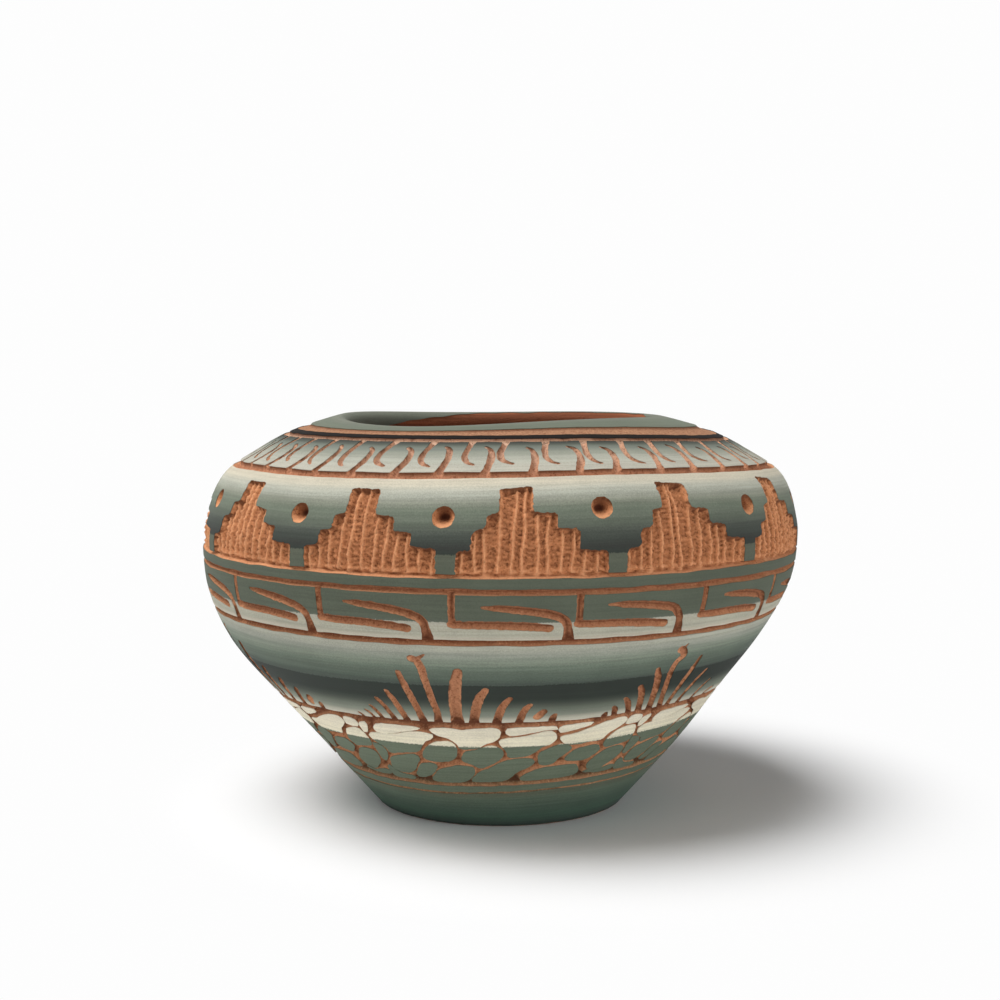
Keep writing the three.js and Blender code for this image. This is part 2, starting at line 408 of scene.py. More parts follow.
def profile():
    """The whole path with the direction that its face looks in."""
    up_wall = np.linspace(0, WALL_LENGTH, WALL_FINENESS)
    wall, rise = form_at(up_wall)
    looks = np.column_stack([rise[:, 1], -rise[:, 0]])
    half = LIP_WALL / 2
    turn = np.linspace(0, math.pi, LIP_FINENESS)[1:, None]
    middle = wall[-1] - looks[-1] * half
    over = looks[-1] * np.cos(turn) + rise[-1] * np.sin(turn)
    down = np.linspace(0, INSIDE_SEEN, INSIDE_FINENESS)[1:]
    inner, inner_rise = form_at(WALL_LENGTH - down)
    inner_looks = np.column_stack([-inner_rise[:, 1], inner_rise[:, 0]])
    inside = inner + inner_looks * wall_thickness(down)[:, None]
    along = np.concatenate([up_wall, WALL_LENGTH + turn[:, 0] * half, WALL_LENGTH + math.pi * half + down])
    return along, np.vstack([wall, middle + over * half, inside]), np.vstack([looks, over, inner_looks])


path_along, path_points, path_looks = profile()
LIP_INNER = WALL_LENGTH + math.pi * LIP_WALL / 2
PATH_END = path_along[-1]
print("The face is", round(WALL_LENGTH, 1), "mm from foot to lip")


def on_path(along, values):
    """What a value that is known all along the path is at some lengths along it."""
    return np.interp(along, path_along, values)


def radius_at(along):
    return on_path(along, path_points[:, 0])


def degrees_for(length, along):
    """How many degrees round the pot a length covers, at that height on the wall."""
    return length / (radius_at(along) * DEGREE)


# %% Where a place on the wall is in space
LIP_RAISED = 0.56
LIP_SWINGS = [(1, 0.25, 0.33), (2, 0.26, -0.48), (3, -0.36, 0.16)]
LIP_SWING_REACH = 13.4


def off_centre(height):
    """How far the thrown wall stands off its axis, towards the right."""
    shares = [(way, np.clip((height - start) / (end - start), 0, 1)) for way, start, end in OFF_CENTRE]
    return sum(way * np.sin(math.pi * share) ** 2 for way, share in shares)


def turned(bearing, radius, height):
    """A point at a bearing, a radius and a height, with the hand-made lip's slow rise and fall."""
    angle = np.asarray(bearing) * DEGREE
    x = radius * np.sin(angle)
    y = -radius * np.cos(angle)
    turn = angle - math.pi / 2
    swing = LIP_RAISED + sum(
        right * np.cos(waves * turn) + behind * np.sin(waves * turn) for waves, right, behind in LIP_SWINGS
    )
    still = lip_radius + LIP_SWING_REACH
    reach = (1 - smooth_share(radius, MOUTH_RADIUS, still)) * (height >= BELLY_HEIGHT)
    height = height + swing * reach
    return np.column_stack([x + off_centre(height), y, height])


# %% How the rings sway
# Each row is a length along, and how far all that is drawn there is shifted up the wall at each bearing.
SWAY_BEARINGS = (-130, -80, -60, -40, -20, 0, 20, 40, 60, 80, 130)
LEVEL = (0,) * len(SWAY_BEARINGS)
SWAYS = [
    (0, LEVEL),
    (14.8, (0, -1.3, -1.3, -1.3, -1.2, -0.3, 0.8, 1.2, 1.7, 1.7, 0)),
    (18.5, (0, -0.9, -0.9, -0.9, -0.75, 0, 0.75, 1.6, 1.95, 1.9, 0)),
    (40.3, (0, -0.3, -0.3, -0.3, -0.2, 0.05, 0.2, 1.35, 1.5, 0.2, 0)),
    (66.4, LEVEL),
    (78.1, (0, 0.45, 0.45, 0.4, 0.3, 0.1, 0, 0, -0.15, -0.4, 0)),
    (81.7, (0, 0, 0, 0, 0, 0, 0, 0, -0.2, -0.5, 0)),
    (106, (0, -1.3, -0.9, -1.2, -0.8, 0.15, 0.9, 0.15, -0.9, -1.9, 0)),
    (121, (0, -0.3, -0.1, 0, 0.1, 0.4, 0.5, -0.6, -2.3, -3.4, 0)),
    (123.4, (0, -0.6, -0.4, -0.3, -0.1, 0, 0.1, -1.3, -3.1, -4, 0)),
    (129, (0, -2, -1.4, -0.7, -0.2, 0, 0, -0.9, -2.5, -3.4, 0)),
    (133, LEVEL),
]


def swayed(bearing, along):
    """The length along that a drawn length really lies at."""
    bearing, along = np.broadcast_arrays(bearing, along)
    levels, rows = zip(*SWAYS)
    shifts = np.array([np.interp(half_turn(bearing), SWAY_BEARINGS, row) for row in rows])
    place = np.interp(along, levels, range(len(levels)))
    below = np.minimum(place.astype(int), len(levels) - 2)
    share = place - below
    column = np.arange(len(bearing))
    return along + shifts[below, column] * (1 - share) + shifts[below + 1, column] * share


def on_wall(bearing, along, depth=0.0):
    """Where a drawn place on the wall is, a depth in from its face."""
    along = swayed(bearing, along)
    radius = radius_at(along) - depth * on_path(along, path_looks[:, 0])
    height = on_path(along, path_points[:, 1]) - depth * on_path(along, path_looks[:, 1])
    return turned(bearing, radius, height)


def wall_looks(bearing, along):
    """The direction that the face looks in at a place on the wall."""
    along = swayed(bearing, along)
    angle = np.asarray(bearing) * DEGREE
    out = on_path(along, path_looks[:, 0])
    up = on_path(along, path_looks[:, 1])
    height = on_path(along, path_points[:, 1])
    lean = off_centre(height + 0.5) - off_centre(height - 0.5)
    looks = np.column_stack([out * np.sin(angle), -out * np.cos(angle), up - lean * out * np.sin(angle)])
    return looks / np.linalg.norm(looks, axis=1)[:, None]


print("The rings sway by up to", max(abs(shift) for _, row in SWAYS for shift in row), "mm")

# %% [markdown]
# ## The bands
# Nine rings are cut right round the pot, and they part its slip into ten painted bands. The list goes up
# from the foot. It gives how wide the bare clay below each band is, how tall the band is, and the slot of
# the imported part. Nothing drawn by hand is quite even, so each edge wanders a little on its way round.

# %% The painted bands, from the foot up
BANDS = [
    ("slip_foot", 0.8, 13.5, "green_slip"),
    ("slip_foot_line", 0.8, 2.1, "green_slip"),
    ("slip_stone_band", 1.5, 20.7, "stone_slip"),
    ("slip_belly_band", 1.6, 24.0, "belly_slip"),
    ("slip_meander_band", 1.5, 10.4, "meander_slip"),
    ("slip_plain_band", 1.4, 2.3, "green_slip"),
    ("slip_shoulder_band", 1.0, 22.3, "shoulder_slip"),
    ("slip_hook_band", 2.4, 11.9, "hook_slip"),
    ("slip_dark_line", 1.7, 2.4, "charcoal_slip"),
    ("slip_rim", 4.7, 5.0, "green_slip"),
]
FOOT_BARE = 0.35  # the foot's slip was wiped almost down to the table
EDGE_WANDER = 0.14
EDGE_WAVES = 60
# The bands share out the wall, so a drawn length times the stretch is a length along in millimetres
stretch = WALL_LENGTH / sum(bare + tall for _, bare, tall, _ in BANDS)
draw = np.random.default_rng(36)


def wander(size, most_waves, count=7):
    """A slow wander up and down that closes on itself after one turn round the pot."""
    waves = draw.integers(2, most_waves, count)
    starts = draw.uniform(0, 2 * math.pi, count)
    sizes = draw.uniform(0.4, 1.0, count) * size / math.sqrt(count)
    parts = list(zip(waves, starts, sizes))
    return lambda bearing: sum(s * np.sin(w * np.asarray(bearing) * DEGREE + t) for w, t, s in parts)


class Band:
    """One painted band: the ring below it, and the places where its slip begins and ends."""

    def __init__(self, name, slot, start, bare, tall):
        self.name = name
        self.slot = slot
        self.ring = start + bare / 2
        self.low = start + bare
        self.high = start + bare + tall
        self.low_wander = wander(EDGE_WANDER, EDGE_WAVES)
        self.high_wander = wander(EDGE_WANDER, EDGE_WAVES)

    def low_edge(self, bearing):
        return self.low + self.low_wander(bearing)

    def high_edge(self, bearing):
        return self.high + self.high_wander(bearing)


bands = {}
reached = 0.0
for name, bare, tall, slot in BANDS:
    bands[name] = Band(name, slot, reached, bare * stretch, tall * stretch)
    reached = bands[name].high
bands["slip_foot"].low = FOOT_BARE
for band in bands.values():
    print(f"{band.name:20s} slip from {band.low:6.1f} to {band.high:6.1f} mm")

# %% The slip's edge down inside the mouth
# The rim's slip was wiped over the lip with a sponge. It runs furthest down inside on the left, and behind
# on the right it stops on top of the lip. Each pair is a bearing and the length from the lip's inner edge
# down.
INNER_SLIP = [
    (-180, -5.5), (-170, -5.1), (-160, -4.4), (-150, -3.6), (-140, -2.7), (-130, -1.2), (-118, 1.0),
    (-105, 4.0), (-90, 6.0), (-45, 2.5), (0, 1.2), (60, 1.0), (88, -1.0), (100, -4.8), (115, -5.6),
    (180, -5.5),
]
inner_wander = wander(0.25, 40)


def inner_slip_edge(bearing):
    return LIP_INNER + np.interp(half_turn(bearing), *zip(*INNER_SLIP)) + inner_wander(bearing)


print("Inside, the slip ends", max(down for _, down in INNER_SLIP), "mm down at the most")

# %% [markdown]
# ## Cuts of the tool
# A stroke of the loop tool is a route over the wall with a width that swells and tapers. Its outline is
# worked out in millimetres on the wall and kept as a closed shape of bearings and lengths along. Points
# down the middle of the stroke are kept too, because the mesh needs them where the groove is deepest.

# %% Shapes on the wall
SLIP = 0
GROOVE = 1
FIGURE = 2
DOT = 3
BARE = 4
STROKE_STEP = 0.68
STROKE_FINENESS = 12
EDGE_ROUGH = 0.05
WIDE_STROKE = 1.0  # from this width on, a stroke has three lines of points inside
ROUND_END = 0.7  # from this width on, a stroke's end is round


class Shape:
    """A closed outline on the wall, as bearings and lengths along, with the loose points inside it."""

    def __init__(self, outline, inside, kind):
        self.outline = np.asarray(outline, float)
        self.inside = np.asarray(inside, float).reshape(-1, 2)
        self.kind = kind


def evenly(line, step, closed=False):
    """The same line with its points a step apart."""
    if closed:
        line = np.vstack([line, line[:1]])
    reach = lengths_along(line)
    count = max(3, round(reach[-1] / step))
    places = np.linspace(0, reach[-1], count + 1)
    if closed:
        places = places[:-1]
    return np.column_stack([np.interp(places, reach, line[:, i]) for i in (0, 1)])


def moved(route, bearing):
    """A drawn route, carried round the pot to a bearing."""
    return [(bearing + aside, along) for aside, along in route]


def stroke(route, widths, open_start=True, open_end=False):
    """A stroke along a route. An open end runs square into a ring, and a closed one is rounded."""
    route = np.array(route, float) * [1, stretch]
    scale = radius_at(route[:, 1].mean()) * DEGREE
    flat = np.column_stack([route[:, 0] * scale, route[:, 1]])
    line = evenly(curve_through(flat, STROKE_FINENESS), STROKE_STEP)
    share = np.linspace(0, 1, len(line))
    width = np.interp(share, np.linspace(0, 1, len(widths)), widths)
    ahead = np.gradient(line, axis=0)
    ahead /= np.hypot(*ahead.T)[:, None]
    aside = np.column_stack([-ahead[:, 1], ahead[:, 0]])
    left = line + aside * (width / 2 + draw.normal(0, EDGE_ROUGH, len(line)))[:, None]
    right = line - aside * (width / 2 + draw.normal(0, EDGE_ROUGH, len(line)))[:, None]
    start_cap = [] if open_start else cap(line[0], -ahead[0], -aside[0], width[0])
    end_cap = [] if open_end else cap(line[-1], ahead[-1], aside[-1], width[-1])
    outline = np.vstack([left, *end_cap, right[::-1], *start_cap])
    inside = [line[1:-1]]
    wide = width[1:-1] > WIDE_STROKE
    for lean in (-0.25, 0.25):
        inside.append((line + aside * (width * lean)[:, None])[1:-1][wide])
    back = np.array([1 / scale, 1])
    return Shape(outline * back, np.vstack(inside) * back, GROOVE)


def cap(end, ahead, aside, width):
    """The round end of a stroke."""
    turns = np.radians((50, 0, -50) if width > ROUND_END else (0,))
    return [(end + (ahead * math.cos(turn) + aside * math.sin(turn)) * width / 2)[None] for turn in turns]


print("Strokes can be cut, with a point every", STROKE_STEP, "mm")

# %% [markdown]
# ## The hooks below the rim
# Two rows of hooks face each other, one hanging from the upper ring and one standing on the lower. Forty of
# each go round the pot, about 9 mm apart, and the hand that cut them never made two alike.

# %% Forty hanging hooks and forty standing ones
HOOKS = 40
HANGING = [(0.1, 118.6), (-0.6, 115.9), (-1.25, 113.3), (-1.25, 111.1), (-0.5, 109.5), (0.9, 108.6)]
HANGING_WIDTHS = [2.0, 1.6, 1.6, 1.65, 1.4, 0.8]
STANDING = [(-0.5, 105.4), (0.2, 107.9), (0.85, 110.4), (1.0, 112.7), (0.6, 114.5), (-0.4, 115.4)]
STANDING_WIDTHS = [2.1, 1.6, 1.7, 1.75, 1.5, 1.0]
HANGING_FIRST = 1.8
STANDING_FIRST = 6.1
HOOK_REACH = 14.0


def hooks():
    pitch = 360 / HOOKS
    made = []
    for first, route, widths in (
        (HANGING_FIRST, HANGING, HANGING_WIDTHS),
        (STANDING_FIRST, STANDING, STANDING_WIDTHS),
    ):
        start = route[0][1]
        for i in range(HOOKS):
            bearing = first + i * pitch + draw.normal(0, 0.45)
            curl = draw.uniform(0.75, 1.25)
            taller = 1 + draw.normal(0, 0.45) / HOOK_REACH
            steps = [(bearing + side * curl, start + (up - start) * taller) for side, up in route]
            made.append(stroke(steps, [width * draw.uniform(0.9, 1.12) for width in widths]))
    return made


# %% [markdown]
# ## The meander
# Sixteen open keys follow each other below the belly's shoulder. Each drops from the upper ring and turns
# right, and the next one comes back over it and turns down into the lower ring.

# %% Sixteen keys
KEY_BEARINGS = [
    -7.9, 13.4, 37.7, 59.8, 81.5, 104, 126.5, 149, 171.5, 194, 216.5, 239, 261.5, 283.5, 305.4, 328
]
KEY_DROP = [(0.0, 77.5), (0.1, 75.0), (0.2, 72.6), (0.35, 70.6)]
KEY_DROP_WIDTHS = [1.7, 1.6, 1.6, 1.7]
KEY_FOOT = [(0.1, 70.4), (3.0, 70.2), (8.0, 70.2), (13.0, 69.9), (16.8, 69.4)]
KEY_FOOT_WIDTHS = [1.8, 1.95, 2.0, 2.05, 1.95]
KEY_RETURN = [
    (5.1, 74.4), (9.0, 74.1), (12.3, 73.7), (15.6, 73.1), (18.0, 72.3), (19.4, 70.9), (20.0, 69.0),
    (20.4, 65.9),
]
KEY_RETURN_WIDTHS = [0.6, 1.5, 1.8, 1.9, 2.0, 2.0, 2.0, 3.0]
KEY_TURN = 71  # above this a return may lie a little higher or lower, and below it runs into the ring


def meander():
    made = []
    for bearing in KEY_BEARINGS:
        lift = draw.normal(0, 0.25)
        bend = draw.normal(0, 0.3)
        foot_lift = draw.normal(0, 0.2)
        made.append(stroke(moved(KEY_DROP, bearing), KEY_DROP_WIDTHS))
        foot = [(side, up + foot_lift * side / 17) for side, up in KEY_FOOT]
        made.append(stroke(moved(foot, bearing), KEY_FOOT_WIDTHS, False))
        back = [
            (side, up + (lift + bend * (side - 12) / 12 if up > KEY_TURN else 0)) for side, up in KEY_RETURN
        ]
        made.append(stroke(moved(back, bearing), KEY_RETURN_WIDTHS, False, True))
    return made


# %% [markdown]
# ## The spiky plants
# Seven clumps grow from the horizon ring. The leaves lean away from the middle and are longest there,
# beside one stem that wavers and forks at its tip. Two clumps are drawn from the photograph and come back
# round the pot. One of them has a short leaf that doesn't reach the ground.

# %% Two drawings of a clump
HORIZON = 40.25
# Each leaf: bearings of its root and its tip from the stem's root, length along at its tip, width
LEFT_LEAVES = [
    (-18.6, -19.6, 42.4, 0.9), (-15.6, -17.1, 43.8, 1.0), (-13.5, -14.9, 45.7, 1.3),
    (-10.3, -12.3, 48.7, 1.5), (-7.3, -9.1, 51.7, 1.8), (-3.3, -5.3, 58.0, 1.9), (4.4, 6.2, 59.2, 2.9),
    (8.0, 11.3, 53.3, 2.3), (13.0, 16.1, 50.2, 2.0), (18.0, 20.3, 47.8, 1.9), (25.4, 26.0, 43.9, 1.8),
]
LEFT_STEM = [
    (0.0, 40.2), (0.5, 44.3), (0.3, 47.9), (0.1, 51.3), (-0.1, 53.9), (-0.4, 56.6), (-0.6, 58.7),
    (-1.2, 60.6), (-2.3, 61.4),
]
LEFT_FORK = [(-1.3, 61.2), (-0.6, 61.8), (0.2, 62.5)]
STUB = [(22.1, 42.6), (23.3, 44.5)]
RIGHT_LEAVES = [
    (-15.4, -15.2, 42.7, 1.7), (-12.7, -13.7, 44.6, 1.6), (-9.0, -11.7, 47.3, 1.6),
    (-6.3, -9.3, 51.1, 1.9), (-3.2, -7.1, 56.4, 2.0), (2.4, 3.5, 58.2, 1.7), (6.0, 9.0, 52.7, 1.6),
    (11.6, 14.6, 47.9, 1.5), (17.0, 21.5, 43.2, 1.3),
]
RIGHT_STEM = [
    (0.2, 40.2), (-0.9, 44.0), (-1.7, 47.4), (-2.6, 51.0), (-3.2, 54.8), (-3.0, 57.2), (-2.0, 58.8),
    (-2.6, 60.2), (-3.7, 61.1),
]
RIGHT_FORK = [(-3.1, 60.9), (-2.8, 61.6), (-2.4, 62.4)]
STEM_WIDTHS = [2.4, 1.9, 1.8, 1.8, 1.7, 1.7, 1.8, 2.0, 1.9]
FORK_WIDTHS = [1.4, 1.0, 0.5]
STUB_WIDTHS = [2.2, 2.0]
LEAF_WIDTHS = [1.25, 1, 1, 0.98, 0.92, 0.7]  # from root to tip, as shares of the leaf's own width
print("The clumps have", len(LEFT_LEAVES), "and", len(RIGHT_LEAVES), "leaves")

# %% Seven clumps of leaves
LEFT_CLUMPS = (-12.7, -69.4, 93.0, 193.0)
RIGHT_CLUMPS = (40.6, 143.0, 243.0)
LESS_GROWN = 0.06  # how much shorter a leaf may be where a clump is drawn again


def leaf(root, tip, top, width):
    """A nearly straight leaf with a round end, drawn with one push of the tool."""
    lean = tip - root
    tall = top - HORIZON
    bow = 0.06 * lean
    route = [
        (root, HORIZON),
        (root + lean * 0.3 - bow, HORIZON + tall * 0.35),
        (root + lean * 0.66 - bow, HORIZON + tall * 0.7),
        (tip, top - width * 0.42),
    ]
    return stroke(route, [width * share for share in LEAF_WIDTHS])


def clump(middle, leaves, stem, fork, growth):
    made = []
    for root, tip, top, width in leaves:
        grown = HORIZON + (top - HORIZON) * (1 - draw.uniform(0, growth))
        made.append(leaf(middle + root, middle + tip, grown, width))
    made.append(stroke(moved(stem, middle), STEM_WIDTHS))
    made.append(stroke(moved(fork, middle), FORK_WIDTHS, False))
    return made


def clumps():
    made = []
    for i, middle in enumerate(LEFT_CLUMPS):
        made += clump(middle, LEFT_LEAVES, LEFT_STEM, LEFT_FORK, LESS_GROWN if i else 0)
        made.append(stroke(moved(STUB, middle), STUB_WIDTHS, False))
    for i, middle in enumerate(RIGHT_CLUMPS):
        made += clump(middle, RIGHT_LEAVES, RIGHT_STEM, RIGHT_FORK, LESS_GROWN if i else 0)
    return made


# %% [markdown]
# ## The stepped figures and the dots
# Twelve stepped figures stand on the shoulder, like little mountains, with a drilled dot in each valley.
# The slip is cut right away inside them. The tool went over the clay in upright strips and left a thin
# ridge between each strip and the next, with the marks of its edge across the strips.

# %% Twelve stepped figures
FIGURE_BEARINGS = [-53, -24.5, 2.4, 32, 61, 91, 121, 151, 181, 212, 244, 276]
FIGURE_GAP = 4.3
FIGURE_LEAN = 0.58
FIGURE_STEPS = [(1.0, 1.0, 5.4), (0.74, 0.68, 3.8), (0.51, 0.43, 3.5), (0.3, 0.17, 7.0)]
STEP_SLOPE = 0.45  # how much higher a step's top is towards the figure's middle than at its outer end
STEP_UNEVEN = 0.32
RIDGE_PITCH = 2.75
RIDGE_COLUMNS = (0.0, 0.12, 0.26, 0.42, 0.58, 0.74, 0.88)
FIGURE_ROW = 0.5
FIGURE_EDGE_STEP = 0.55
FIGURE_CLEAR = 0.24

shoulder = bands["slip_shoulder_band"]
next_bearings = [*FIGURE_BEARINGS[1:], FIGURE_BEARINGS[0] + 360]
ways_on = [after - bearing for bearing, after in zip(FIGURE_BEARINGS, next_bearings)]


class Figure:
    """One stepped figure. A place in it is so many millimetres right of its middle, at a length along."""

    def __init__(self, bearing, way_left, way_right):
        self.bearing = bearing
        self.foot = shoulder.low - 0.25
        base = radius_at(shoulder.low)
        left = way_left * DEGREE * base * (1 - FIGURE_LEAN) - FIGURE_GAP / 2
        right = way_right * DEGREE * base * FIGURE_LEAN - FIGURE_GAP / 2
        self.left, self.right = left, right
        self.sides = [], []
        for side, reaches in enumerate(((-left, 0), (right, 1))):
            level, top = self.foot, shoulder.low
            for step in FIGURE_STEPS:
                top += step[2] * stretch
                high = top + draw.normal(0, STEP_UNEVEN)
                x = reaches[0] * step[reaches[1]]
                self.sides[side].extend([(x, level), (x, high - STEP_SLOPE / 2)])
                level = high + STEP_SLOPE / 2
        self.top = level
        count = math.ceil((left + right) / RIDGE_PITCH)
        middles = -left + (np.arange(count + 1) + 0.35) * RIDGE_PITCH
        middles += draw.normal(0, 0.25, count + 1)
        self.ridges = [
            (x, draw.normal(0, 0.03), draw.uniform(0, 6.3), draw.uniform(0.08, 0.26)) for x in middles
        ]

    def ridge_at(self, ridge, along):
        middle, lean, start, sway = ridge
        up = along - self.foot
        return middle + lean * up + sway * np.sin(up * 0.55 + start)

    def bearings(self, aside, along):
        return self.bearing + degrees_for(np.asarray(aside), along)

    def aside(self, bearing, along):
        return half_turn(np.asarray(bearing) - self.bearing) * DEGREE * radius_at(along)

    def outline(self):
        """Up the left side, over the top and down the right, with each corner a little worn."""
        line = evenly(np.array([*self.sides[0], *self.sides[1][::-1]]), FIGURE_EDGE_STEP)
        soft = line.copy()
        for _ in range(2):
            soft[1:-1] = soft[1:-1] * 0.5 + (soft[:-2] + soft[2:]) * 0.25
        soft[1:-1] += draw.normal(0, 0.1, soft[1:-1].shape)
        soft[:, 1] = np.maximum(soft[:, 1], self.foot)
        return np.column_stack([self.bearings(soft[:, 0], soft[:, 1]), soft[:, 1]])

    def loose(self, outline):
        """Rows of points that follow the ridges, so that each ridge has a crest."""
        rows = np.arange(self.foot + 0.4, self.top, FIGURE_ROW)
        first, last = self.ridges[0], self.ridges[-1]
        pairs = [((first[0] - RIDGE_PITCH, *first[1:]), first), *zip(self.ridges, self.ridges[1:])]
        pairs.append((last, (last[0] + RIDGE_PITCH, *last[1:])))
        made = []
        for ridge, after in pairs:
            start = self.ridge_at(ridge, rows)
            for column in RIDGE_COLUMNS:
                aside = start + (self.ridge_at(after, rows) - start) * column
                made.append(np.column_stack([self.bearings(aside, rows), rows]))
        made = np.vstack(made)
        made = made[inside_any(made, [Shape(outline, [], FIGURE)])]
        return keep_clear(made, outline, FIGURE_CLEAR)

    def shape(self):
        outline = self.outline()
        return Shape(outline, self.loose(outline), FIGURE)


figures = [Figure(bearing, ways_on[i - 1], ways_on[i]) for i, bearing in enumerate(FIGURE_BEARINGS)]
print(len(figures), "figures, about", round(figures[0].top - figures[0].foot), "mm tall")

# %% Twelve drilled dots
DOT_RADIUS = 2.5
DOT_SIDES = 26
DOT_RINGS = (2.05, 1.7, 1.45, 1.2, 0.8)
# How deep a dot is at each distance from its middle: a bevelled edge round a steep hole
DOT_BEVEL = [(0.0, 2.5), (0.8, 2.35), (1.2, 2.0), (1.45, 1.6), (1.7, 1.15), (2.05, 0.6), (2.5, 0.0)]
DRILL_RISE = 1.0  # the drill was held level, so the hole runs upwards through the sloping wall
# Bearing of each dot, and its height above the base of the figures
DOTS = [
    (-68.4, 13.2), (-37.6, 12.5), (-9.9, 12.4), (17.1, 13.8), (50.0, 13.1), (78, 13.2), (108.6, 12.8),
    (138.2, 13.6), (168.6, 12.9), (199.2, 13.8), (230.4, 12.7), (262.4, 13.4),
]


def dot(bearing, rise):
    middle = shoulder.low + rise * stretch
    scale = radius_at(middle) * DEGREE

    def ring(radius, count, rough):
        turns = np.linspace(0, 2 * math.pi, count, endpoint=False)
        reach = radius + draw.normal(0, rough, count)
        return np.column_stack([bearing + reach * np.cos(turns) / scale, middle + reach * np.sin(turns)])

    inner = [ring(radius, round(DOT_SIDES * radius / DOT_RADIUS), 0.0) for radius in DOT_RINGS]
    return Shape(ring(DOT_RADIUS, DOT_SIDES, 0.05), np.vstack([*inner, [(bearing, middle)]]), DOT)


# %% [markdown]
# ## The cobbles
# Below the horizon the band is covered with cobbles in slanting rows. Here the drawing is the other way
# about: each cobble is an island of slip, and all that lies between them is cut away. One patch of cobbles
# is drawn and goes round the pot five times, with each cobble a little larger or smaller after the first
# time.

